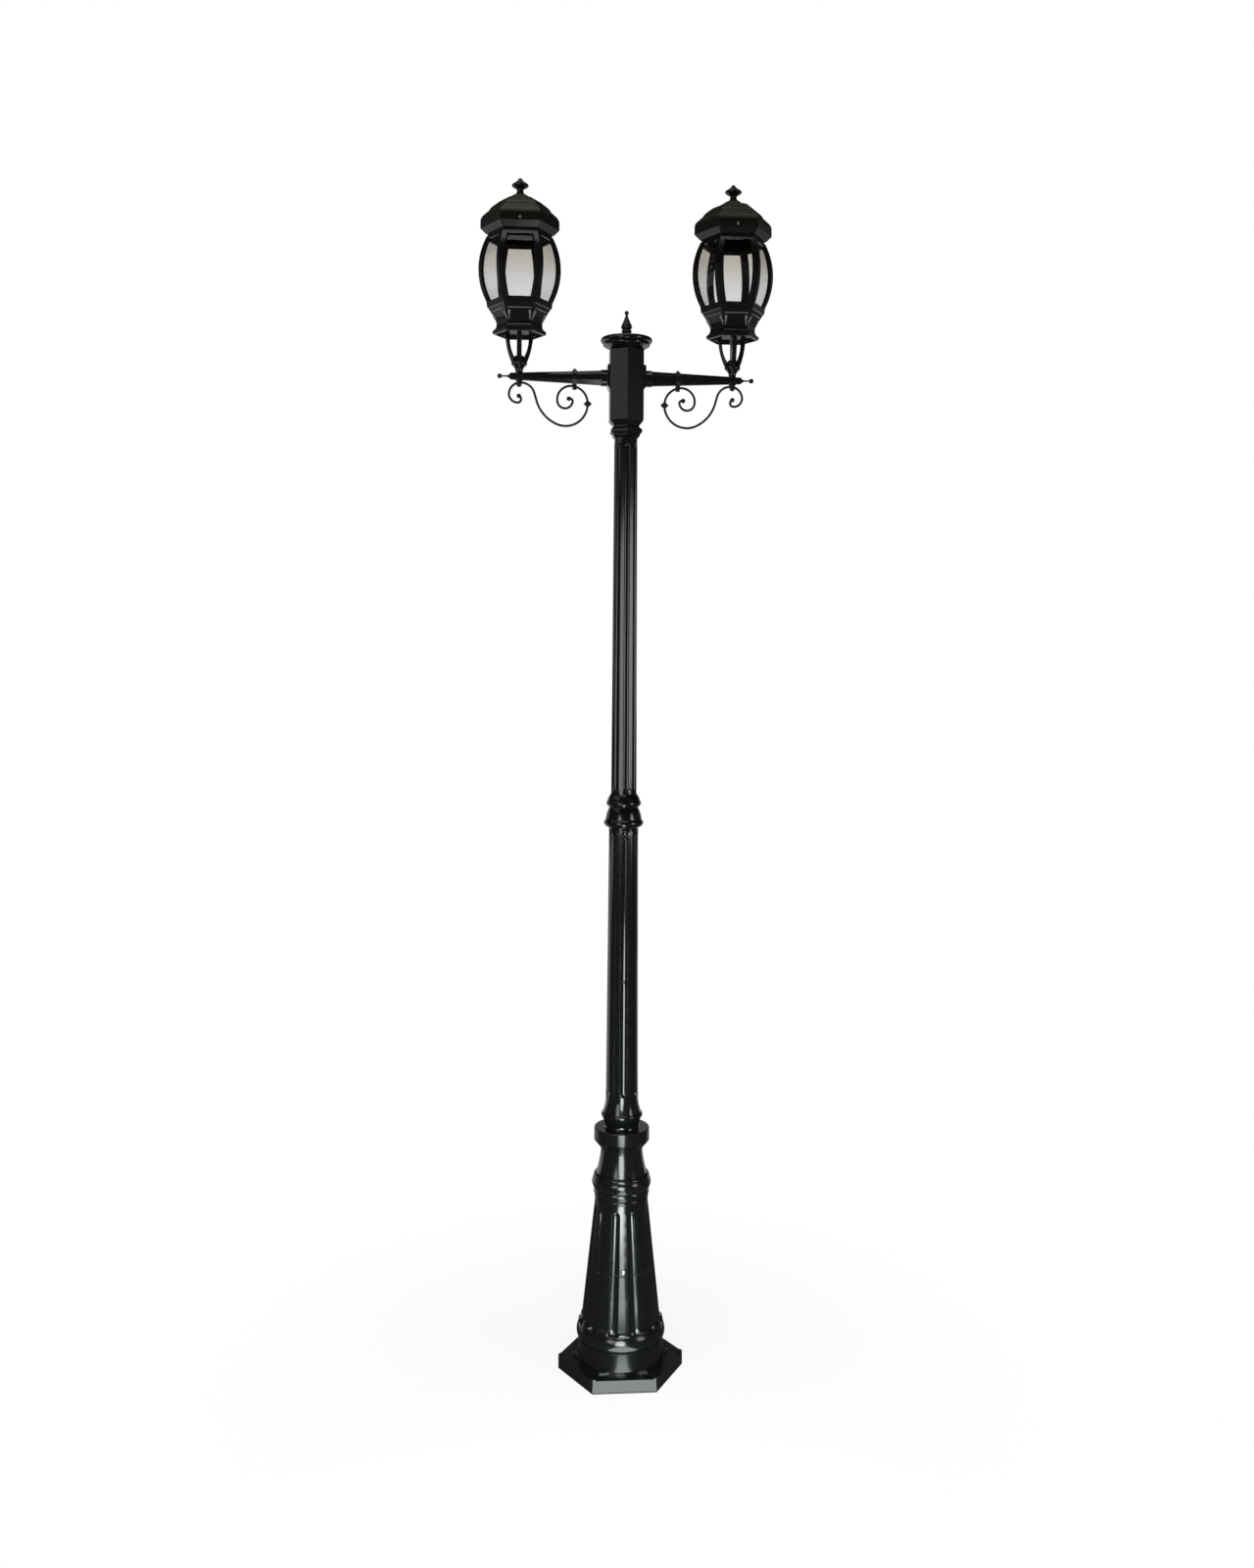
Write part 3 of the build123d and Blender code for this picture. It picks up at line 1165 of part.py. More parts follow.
with BuildSketch() as roof_hollow:
    with BuildLine():
        Polyline(
            (0, eave_foot - EAVE_CHAMFER_H - 1),
            (mouth, eave_foot - EAVE_CHAMFER_H - 1),
            (mouth, eave_foot - EAVE_CHAMFER_H + 1),
            (EAVE - ROOF_WALL, eave_foot),
            (EAVE - ROOF_WALL, flange_z),
            (COLLAR_FLAT - 7, flange_z),
            (COLLAR_FLAT - 7, flange_z + ROOF_WALL),
            (EAVE - ROOF_WALL - 6, flange_z + ROOF_WALL),
            (ROOF_STEP - 4, eave_top + 24 - ROOF_WALL),
            (ROOF_SHOULDER - 4, slope_top - ROOF_WALL - 1),
            (DOME_TOP - 5, slope_top + DOME_H - ROOF_WALL - 2),
            (0, slope_top + DOME_H - ROOF_WALL - 2),
            close=True,
        )
    make_face()
roof_body = six_sided(roof_outline, FRONT, 2 * EAVE)
roof_inside = six_sided(roof_hollow, FRONT, 2 * EAVE)
roof_screw_z = collar_top - 4
knob_z = slope_top + DOME_H + 4.5
with BuildPart() as roof:
    add(roof_body)
    add(roof_inside, mode=Mode.SUBTRACT)
    for turn in THIRDS:
        outward = upright(turn).x_dir
        with BuildSketch(Plane(origin=outward * COLLAR_FLAT + (0, 0, roof_screw_z), z_dir=outward)):
            Circle(ROOF_SCREW_R + SCREW_GAP)
        extrude(amount=EAVE, mode=Mode.SUBTRACT)
    with BuildSketch(Plane.XY.offset(knob_z - KNOB_SINK)):
        Circle(KNOB_R)
    extrude(amount=10, mode=Mode.SUBTRACT)
    with BuildSketch(Plane.XY.offset(knob_z)):
        Circle(KNOB_SCREW_R + SCREW_GAP)
    extrude(amount=-DOME_H - 5, mode=Mode.SUBTRACT)

with BuildPart() as roof_finial:
    with BuildSketch(Plane.XZ):
        with BuildLine():
            z = knob_z - KNOB_SINK
            Line((0, z - DOME_H + 2), (KNOB_SCREW_R, z - DOME_H + 2))
            Line((KNOB_SCREW_R, z - DOME_H + 2), (KNOB_SCREW_R, z))
            Line((KNOB_SCREW_R, z), (12, z))
            flare = ThreePointArc((12, z), (KNOB_NECK_R + 2, z + 3.5), (KNOB_NECK_R, z + 9))
            rise = ThreePointArc(flare @ 1, (KNOB_NECK_R + 1.4, z + 13), (KNOB_R - 2.2, z + 17))
            edge = ThreePointArc(rise @ 1, (KNOB_R, z + 19.5), (KNOB_R - 2.6, z + 22))
            slope = ThreePointArc(edge @ 1, (6, z + 25), (2.6, z + KNOB_H - 5))
            Line(slope @ 1, (KNOB_TIP_R, z + KNOB_H - KNOB_TIP_R))
            slant = KNOB_TIP_R * sqrt(0.5)
            ThreePointArc(
                (KNOB_TIP_R, z + KNOB_H - KNOB_TIP_R),
                (slant, z + KNOB_H - KNOB_TIP_R + slant),
                (0, z + KNOB_H),
            )
            Line((0, z + KNOB_H), (0, z - DOME_H + 2))
        make_face()
    revolve(axis=Axis.Z)

with BuildPart() as roof_screws:
    for turn in THIRDS:
        outward = upright(turn).x_dir
        tip = COLLAR_FLAT + LIFT_GAP
        with BuildSketch(Plane(origin=outward * tip + (0, 0, roof_screw_z), z_dir=outward)):
            Circle(ROOF_SCREW_R)
        extrude(amount=EAVE - tip)
        with BuildSketch(Plane(origin=outward * EAVE + (0, 0, roof_screw_z), z_dir=outward)):
            Circle(ROOF_SCREW_HEAD_R)
        extrude(amount=2, taper=25)

side_pieces = {
    "arm": arm,
    "arm_flange": arm_flange,
    "arm_screw": arm_screw,
    "arm_nut": arm_nut,
    "arm_tip": arm_tip,
    "scroll": scroll,
    "scroll_knot": scroll_knot,
    "scroll_clamp": scroll_clamp,
    "cap_nut": cap_nut,
}
for label, master in side_pieces.items():
    with BuildPart() as right_piece:
        add(master.part)
    finish(right_piece.part, f"{label}_right")
    with BuildPart() as left_piece:
        mirror(master.part, about=Plane.YZ)
    finish(left_piece.part, f"{label}_left")

lantern_pieces = {
    "stem": stem,
    "tripod": tripod,
    "tripod_screws": tripod_screws,
    "basket": basket,
    "lamp_holder": lamp_holder,
    "cage": cage,
    "glass": glass,
    "roof": roof,
    "roof_finial": roof_finial,
    "roof_screws": roof_screws,
}
for label, master in lantern_pieces.items():
    with BuildPart() as right_piece:
        with Locations((ARM_REACH, 0, arm_z)):
            add(master.part)
    finish(right_piece.part, f"{label}_right")
    with BuildPart() as left_piece:
        mirror(right_piece.part, about=Plane.YZ)
    finish(left_piece.part, f"{label}_left")
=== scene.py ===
"""Twin head post light: the looks, the light and the camera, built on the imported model."""

from __future__ import annotations

import logging
import math
from collections.abc import Callable, Iterable, Iterator, Sequence
from contextlib import contextmanager
from dataclasses import dataclass
from enum import Enum

import bmesh
import bpy
from mathutils import Matrix, Vector


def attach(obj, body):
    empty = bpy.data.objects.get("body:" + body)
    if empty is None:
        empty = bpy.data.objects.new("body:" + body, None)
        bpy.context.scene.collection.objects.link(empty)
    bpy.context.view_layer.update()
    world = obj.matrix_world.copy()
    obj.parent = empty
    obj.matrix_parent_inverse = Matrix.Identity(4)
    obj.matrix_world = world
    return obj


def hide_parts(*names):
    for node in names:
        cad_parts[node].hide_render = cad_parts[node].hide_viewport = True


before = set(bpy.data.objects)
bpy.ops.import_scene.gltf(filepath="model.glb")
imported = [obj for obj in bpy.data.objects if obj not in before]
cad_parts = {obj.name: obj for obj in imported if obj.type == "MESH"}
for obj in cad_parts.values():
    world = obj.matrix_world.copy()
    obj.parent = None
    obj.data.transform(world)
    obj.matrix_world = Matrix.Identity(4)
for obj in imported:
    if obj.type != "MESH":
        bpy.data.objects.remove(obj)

log = logging.getLogger("post_light")

MM = 0.001
# A vertex nearer than this to a plane, in metres, lies in it.
SEAM = 1e-7
# Turns in degrees from +X: the front, and the three even places that start there.
FRONT = -90.0
THIRDS = (FRONT, FRONT + 120, FRONT + 240)

Point = tuple[float, float, float]
Colour = tuple[float, float, float]
Profile = Sequence[tuple[float, float]]
Piece = bpy.types.Object
Node = bpy.types.Node
Socket = bpy.types.NodeSocket


class Side(Enum):
    """The two arms of the light."""

    LEFT = "left"
    RIGHT = "right"

    @property
    def sign(self) -> float:
        """Which way this side lies along X."""
        return -1.0 if self is Side.LEFT else 1.0


class Recess(Enum):
    """The shapes of hole that a driver fits in a screw's head."""

    CROSS = "cross"
    HEX = "hex"


# ---------------------------------------------------------------- modelling


def deselect() -> None:
    """Leave edit mode and deselect every object."""
    if bpy.context.mode != "OBJECT":
        bpy.ops.object.mode_set(mode="OBJECT")
    bpy.ops.object.select_all(action="DESELECT")


def activate(piece: Piece) -> None:
    """Select one piece alone and make it the active one."""
    deselect()
    piece.select_set(True)
    bpy.context.view_layer.objects.active = piece


@contextmanager
def editing(piece: Piece) -> Iterator[None]:
    """Hold one piece in edit mode with nothing selected.

    Args:
        piece: The mesh to edit.
    """
    activate(piece)
    bpy.ops.object.mode_set(mode="EDIT")
    bpy.ops.mesh.select_mode(type="FACE")
    bpy.ops.mesh.select_all(action="DESELECT")
    yield
    bpy.ops.object.mode_set(mode="OBJECT")


def pick_faces(piece: Piece, test: Callable[[bmesh.types.BMFace], bool]) -> None:
    """Select the faces that pass a test, in edit mode.

    Args:
        piece: The mesh in edit mode.
        test: Says whether a face is wanted.
    """
    shape = bmesh.from_edit_mesh(piece.data)
    for face in shape.faces:
        face.select_set(test(face))
    bmesh.update_edit_mesh(piece.data)


def settle(piece: Piece) -> Piece:
    """Put a piece's place into its mesh, so that its object sits at the origin."""
    activate(piece)
    bpy.ops.object.transform_apply(location=True, rotation=True, scale=True)
    return piece


def smooth(piece: Piece, angle: float) -> Piece:
    """Shade a piece smooth, with its sharper edges kept.

    Args:
        piece: The mesh to shade.
        angle: The sharpest turn in degrees that still shades smooth.

    Returns:
        The same piece.
    """
    activate(piece)
    bpy.ops.object.shade_smooth_by_angle(angle=math.radians(angle))
    return piece


def join(name: str, parts: Sequence[Piece]) -> Piece:
    """Join settled parts into one named piece.

    Args:
        name: The name of the piece.
        parts: The objects to join, the first of which stays.

    Returns:
        The joined piece.
    """
    deselect()
    for part in parts:
        part.select_set(True)
    bpy.context.view_layer.objects.active = parts[0]
    if len(parts) > 1:
        bpy.ops.object.join()
    whole = bpy.context.view_layer.objects.active
    whole.name = name
    whole.data.name = name
    return whole


def copy_to(master: Piece, place: Matrix) -> Piece:
    """Copy a settled piece, mesh and all, to another place.

    Args:
        master: The piece to copy.
        place: Where the copy goes, from where the master lies.

    Returns:
        The copy, settled.
    """
    twin = master.copy()
    twin.data = master.data.copy()
    twin.data.transform(place)
    bpy.context.scene.collection.objects.link(twin)
    return twin


def discard(piece: Piece) -> None:
    """Remove a master once its copies are made."""
    mesh = piece.data
    bpy.data.objects.remove(piece)
    if mesh.users == 0:
        bpy.data.meshes.remove(mesh)


def combine(piece: Piece, other: Piece, operation: str) -> None:
    """Cut a piece with another or merge the other into it, and remove the other.

    Args:
        piece: The piece that stays.
        other: The piece that goes.
        operation: Blender's name of the boolean.
    """
    activate(piece)
    modifier = piece.modifiers.new("Boolean", "BOOLEAN")
    modifier.object, modifier.operation, modifier.solver = other, operation, "EXACT"
    bpy.ops.object.modifier_apply(modifier=modifier.name)
    discard(other)


def reshape(piece: Piece, move: Callable[[bmesh.types.BMVert], None]) -> Piece:
    """Move a piece's vertices one by one.

    Args:
        piece: The mesh to reshape.
        move: Moves one vertex.

    Returns:
        The same piece.
    """
    with editing(piece):
        shape = bmesh.from_edit_mesh(piece.data)
        for vertex in shape.verts:
            move(vertex)
        bmesh.update_edit_mesh(piece.data)
    return piece


def ball(segments: int, rings: int, radii: Point) -> Piece:
    """Model a ball, round or stretched, at the origin.

    Args:
        segments: Steps round it.
        rings: Steps from foot to tip.
        radii: Its half sizes in millimetres.

    Returns:
        The ball, settled.
    """
    deselect()
    bpy.ops.mesh.primitive_uv_sphere_add(
        segments=segments, ring_count=rings, radius=1, location=(0, 0, 0), scale=[radius * MM for radius in radii]
    )
    return settle(bpy.context.object)


def turned(name: str, profile: Profile, centre: Point, steps: int = 48) -> Piece:
    """Spin a profile round a vertical axis.

    Args:
        name: The name of the piece.
        profile: Points of radius and height in millimetres, from foot to tip.
        centre: A point of the axis in metres, from which the heights count.
        steps: How many steps make a full turn.

    Returns:
        The turned piece, closed and settled.
    """
    deselect()
    bpy.ops.mesh.primitive_plane_add(size=MM, location=(0, 0, 0))
    piece = bpy.context.object
    with editing(piece):
        bpy.ops.mesh.select_mode(type="VERT")
        shape = bmesh.from_edit_mesh(piece.data)
        bmesh.ops.delete(shape, geom=shape.verts[1:], context="VERTS")
        shape.verts.ensure_lookup_table()
        here = Vector((profile[0][0] * MM, 0, profile[0][1] * MM))
        shape.verts[0].co = here
        shape.verts[0].select_set(True)
        bmesh.update_edit_mesh(piece.data)
        for radius, height in profile[1:]:
            there = Vector((radius * MM, 0, height * MM))
            bpy.ops.mesh.extrude_region_move(TRANSFORM_OT_translate={"value": there - here})
            here = there
        bpy.ops.mesh.select_all(action="SELECT")
        bpy.ops.mesh.spin(steps=steps, angle=math.tau, center=(0, 0, 0), axis=(0, 0, 1))
        bpy.ops.mesh.select_all(action="SELECT")
        bpy.ops.mesh.remove_doubles(threshold=0.01 * MM)
        bpy.ops.mesh.select_all(action="SELECT")
        bpy.ops.mesh.normals_make_consistent(inside=False)
    piece.location = centre
    piece.name = name
    return settle(piece)


def facing(point: Vector, outward: Vector) -> Matrix:
    """Give the place that takes a piece made along +Z to a point, with its +Z outward."""
    return Matrix.Translation(point) @ outward.to_track_quat("Z", "Y").to_matrix().to_4x4()


def around(turn: float) -> Vector:
    """Level direction at a turn round the vertical, in degrees from +X."""
    return Vector((math.cos(math.radians(turn)), math.sin(math.radians(turn)), 0))


# ---------------------------------------------------------------- shading


@dataclass
class Graph:
    """The nodes of one material, group or world, added and linked by name."""

    tree: bpy.types.NodeTree

    def add(self, kind: str, label: str = "", **values: object) -> Node:
        """Add a node and set its own properties.

        Args:
            kind: Blender's type name of the node.
            label: What the node is for.
            values: Properties of the node.

        Returns:
            The new node.
        """
        node = self.tree.nodes.new(kind)
        node.label = label
        for key, value in values.items():
            setattr(node, key, value)
        return node

    def feed(self, node: Node, **values: object) -> Node:
        """Set or link a node's inputs by name.

        Args:
            node: The node.
            values: Plain values or outputs, with underscores for the spaces of a name.

        Returns:
            The same node.
        """
        for key, value in values.items():
            self.give(node.inputs[key.replace("_", " ")], value)
        return node

    def give(self, socket: Socket, value: object) -> None:
        """Link an output to an input, or set the input to a plain value.

        Args:
            socket: The input.
            value: An output or a plain value.
        """
        if isinstance(value, Socket):
            self.tree.links.new(value, socket)
        else:
            socket.default_value = value

    def calc(self, operation: str, first: object, second: object) -> Socket:
        """Add a Math node on two values or outputs.

        Args:
            operation: Blender's name of the operation.
            first: A number or an output.
            second: A number or an output.

        Returns:
            The node's output.
        """
        node = self.add("ShaderNodeMath", operation=operation)
        self.give(node.inputs[0], first)
        self.give(node.inputs[1], second)
        return node.outputs[0]

    def vector(self, operation: str, label: str, *parts: object) -> bpy.types.NodeOutputs:
        """Add a Vector Math node.

        Args:
            operation: Blender's name of the operation.
            label: What the node is for.
            parts: Vectors or outputs.

        Returns:
            The node's outputs.
        """
        node = self.add("ShaderNodeVectorMath", label, operation=operation)
        for socket, part in zip(node.inputs, parts):
            self.give(socket, part)
        return node.outputs

    def noise(self, label: str, where: Socket, scale: object, detail: float = 2.0) -> Socket:
        """Add a noise texture of a scale, a number or an output, and so many finer layers."""
        node = self.add("ShaderNodeTexNoise", label)
        return self.feed(node, Vector=where, Scale=scale, Detail=detail).outputs["Fac"]

    def ramp(self, label: str, value: Socket, start: object, end: object, least: float = 0.0) -> Socket:
        """Go softly from a least value, where an output reaches the start, to 1, where it reaches the end."""
        node = self.add("ShaderNodeMapRange", label, interpolation_type="SMOOTHSTEP")
        return self.feed(node, Value=value, From_Min=start, From_Max=end, To_Min=least).outputs["Result"]

    def height_of(self, vector: Socket) -> Socket:
        """Give the Z part of a vector."""
        return self.feed(self.add("ShaderNodeSeparateXYZ"), Vector=vector).outputs["Z"]

    def upward(self) -> Socket:
        """Give how far the surface faces up, from -1 to 1."""
        return self.height_of(self.add("ShaderNodeNewGeometry").outputs["Normal"])

    def blend(self, mask: Socket, under: Socket | Colour, over: Colour) -> Socket:
        """Lay one colour over another by a mask.

        Args:
            mask: How much of the upper colour shows.
            under: The lower colour, or the output that gives it.
            over: The upper colour.

        Returns:
            The blended colour's output.
        """
        mix = self.add("ShaderNodeMix", data_type="RGBA")
        self.give(mix.inputs[0], mask)
        self.give(mix.inputs[6], (*under, 1) if isinstance(under, tuple) else under)
        self.give(mix.inputs[7], (*over, 1))
        return mix.outputs[2]

    def bump(
        self, shader: Node, height: Socket, strength: float, distance: float, normal: Socket | None = None
    ) -> None:
        """Bump a shader's normal by a height.

        Args:
            shader: The shader to bump.
            height: The height's output.
            strength: How strongly, from 0 to 1.
            distance: The depth in metres of the full height.
            normal: The normal to start from, if it isn't the surface's own.
        """
        bump = self.feed(self.add("ShaderNodeBump", "relief"), Strength=strength, Distance=distance, Height=height)
        if normal:
            self.feed(bump, Normal=normal)
        self.feed(shader, Normal=bump.outputs["Normal"])

    def use(self, group: bpy.types.NodeTree, where: Socket, **values: float) -> bpy.types.NodeOutputs:
        """Place an effect in a material and give its outputs; its inputs are named as for feed."""
        node = self.add("ShaderNodeGroup", group.name, node_tree=group)
        return self.feed(node, Vector=where, **values).outputs

    def end_in_mix(self, mask: Socket, first: Node, second: Node) -> None:
        """End a material in a mix of two shaders.

        Args:
            mask: How much of the second shows.
            first: The shader at 0.
            second: The shader at 1.
        """
        mix = self.add("ShaderNodeMixShader")
        for socket, value in zip(mix.inputs, (mask, first.outputs[0], second.outputs[0])):
            self.give(socket, value)
        self.feed(self.tree.nodes["Material Output"], Surface=mix.outputs[0])


def new_group(
    name: str, inputs: dict[str, float], values: Iterable[str], normals: Iterable[str] = ()
) -> tuple[Graph, bpy.types.NodeOutputs, Node]:
    """Start a node group with its named inputs and outputs.

    Args:
        name: The group's name.
        inputs: Names of the inputs with their usual values.
        values: Names of the outputs that are values.
        normals: Names of the outputs that are normals.

    Returns:
        The group's graph, what its input node gives, and its output node.
    """
    tree = bpy.data.node_groups.new(name, "ShaderNodeTree")
    tree.interface.new_socket("Vector", in_out="INPUT", socket_type="NodeSocketVector")
    for key, value in inputs.items():
        tree.interface.new_socket(key, in_out="INPUT", socket_type="NodeSocketFloat").default_value = value
    for key in values:
        tree.interface.new_socket(key, in_out="OUTPUT", socket_type="NodeSocketFloat")
    for key in normals:
        tree.interface.new_socket(key, in_out="OUTPUT", socket_type="NodeSocketVector")
    return Graph(tree), tree.nodes.new("NodeGroupInput").outputs, tree.nodes.new("NodeGroupOutput")


class Effects:
    """Surface effects that several finishes share, each a node group made once.

    An edge rubs where its rounded normal leaves the flat one by more than the cosine sharp_turn.
    """

    cloud_scale = 14.0
    sharp_turn = 0.93
    # How much the painted top light varies in patches.
    top_light_share = 0.5
    top_light_least = 0.7

    def __init__(self) -> None:
        """Make the groups."""
        self.coating = self._coating()
        self.wear_and_highlight_edges = self._wear_and_highlight_edges()
        self.dust = self._dust()
        self.top_light = self._top_light()

    def _coating(self) -> bpy.types.NodeTree:
        """Sprayed skin: fine ripples of the coat, and its uneven gloss.

        Returns:
            The group, with Height and Roughness outputs.
        """
        graph, enter, leave = new_group(
            "sprayed_skin", {"Ripple Scale": 300.0, "Roughness": 0.2, "Unevenness": 0.05}, ("Height", "Roughness")
        )
        ripple = graph.noise("ripples of the coat", enter["Vector"], enter["Ripple Scale"])
        cloud = graph.noise("uneven gloss", enter["Vector"], self.cloud_scale, 3.0)
        spread = graph.calc("MULTIPLY", graph.calc("SUBTRACT", cloud, 0.5), enter["Unevenness"])
        graph.feed(leave, Height=ripple, Roughness=graph.calc("ADD", enter["Roughness"], spread))
        return graph.tree

    def _wear_and_highlight_edges(self) -> bpy.types.NodeTree:
        """Softened edges: a normal that rounds them, and a mask of where they rub, broken up by grain; on the raised
        relief the mask lays a painted highlight.

        Returns:
            The group, with Mask and Normal outputs.
        """
        graph, enter, leave = new_group(
            "softened_edges", {"Width": 0.0012, "Gain": 4.0, "Grain": 120.0}, ("Mask",), ("Normal",)
        )
        bevel = graph.feed(graph.add("ShaderNodeBevel", "rounded edge", samples=8), Radius=enter["Width"])
        rounded = bevel.outputs["Normal"]
        flat = graph.add("ShaderNodeNewGeometry").outputs["Normal"]
        agree = graph.vector("DOT_PRODUCT", "how flat", rounded, flat)["Value"]
        edge = graph.calc("MAXIMUM", graph.calc("SUBTRACT", self.sharp_turn, agree), 0.0)
        strong = graph.calc("MULTIPLY", edge, enter["Gain"])
        broken = graph.calc("MULTIPLY", strong, graph.noise("broken wear and highlight", enter["Vector"], enter["Grain"]))
        graph.feed(leave, Mask=graph.calc("MINIMUM", broken, 1.0), Normal=rounded)
        return graph.tree

    def _dust(self) -> bpy.types.NodeTree:
        """Settled dust: thin on what faces up, in soft patches.

        Returns:
            The group, with a Mask output.
        """
        graph, enter, leave = new_group("settled_dust", {"Amount": 0.1, "Patches": 30.0}, ("Mask",))
        steep = graph.calc("POWER", graph.calc("MAXIMUM", graph.upward(), 0.0), 3.0)
        thin = graph.calc("MULTIPLY", steep, graph.noise("patches", enter["Vector"], enter["Patches"], 4.0))
        graph.feed(leave, Mask=graph.calc("MULTIPLY", thin, enter["Amount"]))
        return graph.tree

    def _top_light(self) -> bpy.types.NodeTree:
        """Faces turned up, where a coat is painted lighter for the light that falls on it from above, and made
        rougher.

        Returns:
            The group, with a Mask output.
        """
        graph, enter, leave = new_group("painted_top_light", {"From": -0.05, "To": 0.3, "Patches": 9.0}, ("Mask",))
        upward = graph.ramp("up-facing", graph.upward(), enter["From"], enter["To"])
        patches = graph.noise("patches of painted top light", enter["Vector"], enter["Patches"])
        part = graph.calc("ADD", graph.calc("MULTIPLY", patches, self.top_light_share), self.top_light_least)
        graph.feed(leave, Mask=graph.calc("MINIMUM", graph.calc("MULTIPLY", upward, part), 1.0))
        return graph.tree


def new_material(name: str) -> tuple[bpy.types.Material, Graph, Node, Socket]:
    """Start a material with its Principled shader.

    Args:
        name: The material's name.

    Returns:
        The material, its graph, the shader, and Object coordinates.
    """
    material = bpy.data.materials.new(name)
    material.use_nodes = True
    graph = Graph(material.node_tree)
    shader = material.node_tree.nodes["Principled BSDF"]
    return material, graph, shader, graph.add("ShaderNodeTexCoord").outputs["Object"]


@dataclass(frozen=True)
class SprayedCoat:
    """Glossy sprayed and baked coat on a casting or a tube.

    A joint is the height in metres of a dark joint line; a coat with a top light colour is painted lighter where it
    faces up, as painted light from above, and is rougher there.
    """

    name: str
    colour: Colour = (0.0032, 0.004, 0.0034)
    wear_and_highlight_colour: Colour = (0.03, 0.033, 0.03)
    roughness: float = 0.15
    unevenness: float = 0.05
    ripple: float = 120.0
    ripple_strength: float = 0.004
    ripple_depth: float = 0.0004
    specular: float = 0.48
    edge: float = 0.0008
    # Gain of the edge mask: wear, and on the relief a painted highlight.
    wear: float = 1.2
    grain: float = 160.0
    dust: float = 0.015
    dust_patches: float = 24.0
    dust_colour: Colour = (0.35, 0.34, 0.31)
    joint: float = 0.0
    joint_edges: tuple[float, float] = (1.2 * MM, 0.5 * MM)
    joint_colour: Colour = (0.0004, 0.0005, 0.0004)
    joint_dullness: float = 0.8
    # Painted light: a lighter colour for faces that turn up and catch the light from above.
    top_light_colour: Colour | None = None
    top_dullness: float = 0.3

    def make(self, effects: Effects) -> bpy.types.Material:
        """Build the material.

        Args:
            effects: The shared surface effects.

        Returns:
            The material.
        """
        material, graph, shader, where = new_material(self.name)
        skin = graph.use(
            effects.coating, where, Ripple_Scale=self.ripple, Roughness=self.roughness, Unevenness=self.unevenness
        )
        edge_wear_and_highlight = graph.use(effects.wear_and_highlight_edges, where, Width=self.edge, Gain=self.wear, Grain=self.grain)
        dusty = graph.use(effects.dust, where, Amount=self.dust, Patches=self.dust_patches)["Mask"]
        # The edge mask lays real wear, and on the relief finish a painted highlight.
        colour = graph.blend(dusty, graph.blend(edge_wear_and_highlight["Mask"], self.colour, self.wear_and_highlight_colour), self.dust_colour)
        matt = graph.calc("ADD", skin["Roughness"], dusty)
        # Painted light: up-facing faces are painted lighter, and made rougher.
        if self.top_light_colour:
            upward_mask = graph.use(effects.top_light, where)["Mask"]
            colour = graph.blend(upward_mask, colour, self.top_light_colour)
            matt = graph.calc("ADD", matt, graph.calc("MULTIPLY", upward_mask, self.top_dullness))
        if self.joint:
            apart = graph.calc("SUBTRACT", graph.height_of(where), self.joint)
            gap = graph.ramp("joint line", graph.calc("ABSOLUTE", apart, 0.0), *self.joint_edges)
            colour = graph.blend(gap, colour, self.joint_colour)
            matt = graph.calc("ADD", matt, graph.calc("MULTIPLY", gap, self.joint_dullness))
        graph.feed(shader, Base_Color=colour, Roughness=matt, Specular_IOR_Level=self.specular)
        graph.bump(shader, skin["Height"], self.ripple_strength, self.ripple_depth, edge_wear_and_highlight["Normal"])
        return material


@dataclass(frozen=True)
class BentGlass:
    """Clear glass, bent while hot, so that it is a little wavy, with a warm reflection painted into its colour under
    the roof.
    """

    name: str = "bent_glass"
    foot: Colour = (0.85, 0.85, 0.86)
    # Painted reflection: the warm colour the panes take toward the roof.
    head: Colour = (0.7, 0.675, 0.625)
    warm_reflection_from: float = 2.165
    warm_reflection_to: float = 2.236
    haze: float = 0.03
    haze_scale: float = 40.0
    waves: float = 22.0
    wave_strength: float = 0.12
    wave_depth: float = 0.002
    refraction: float = 1.46

    def make(self) -> bpy.types.Material:
        """Build the material.

        Returns:
            The material.
        """
        material, graph, shader, where = new_material(self.name)
        # Painted reflection: the panes are coloured warm toward the roof.
        rise = graph.ramp("painted warm reflection toward the roof", graph.height_of(where), self.warm_reflection_from, self.warm_reflection_to)
        patches = graph.calc("MULTIPLY", graph.noise("haze in patches", where, self.haze_scale), self.haze)
        graph.feed(
            shader,
            Base_Color=graph.blend(rise, self.foot, self.head),
            Transmission_Weight=1.0,
            IOR=self.refraction,
            Roughness=graph.calc("MULTIPLY", patches, rise),
        )
        wave = graph.noise("waves of the bending", where, self.waves, 1.0)
        graph.bump(shader, wave, self.wave_strength, self.wave_depth)
        self._let_lamps_in(graph, shader)
        return material

    def _let_lamps_in(self, graph: Graph, shader: Node) -> None:
        """Let the lamps' light, and what a surface behind the glass mirrors, pass straight through.

        Args:
            graph: The material's nodes.
            shader: The glass's shader.
        """
        path = graph.add("ShaderNodeLightPath").outputs
        clear = graph.feed(graph.add("ShaderNodeBsdfTransparent", "light through the pane"), Color=(*self.foot, 1))
        mirrored = graph.calc("SUBTRACT", path["Is Glossy Ray"], path["Is Transmission Ray"])
        bounced = graph.calc("MAXIMUM", mirrored, path["Is Diffuse Ray"])
        graph.end_in_mix(graph.calc("MAXIMUM", path["Is Shadow Ray"], bounced), shader, clear)


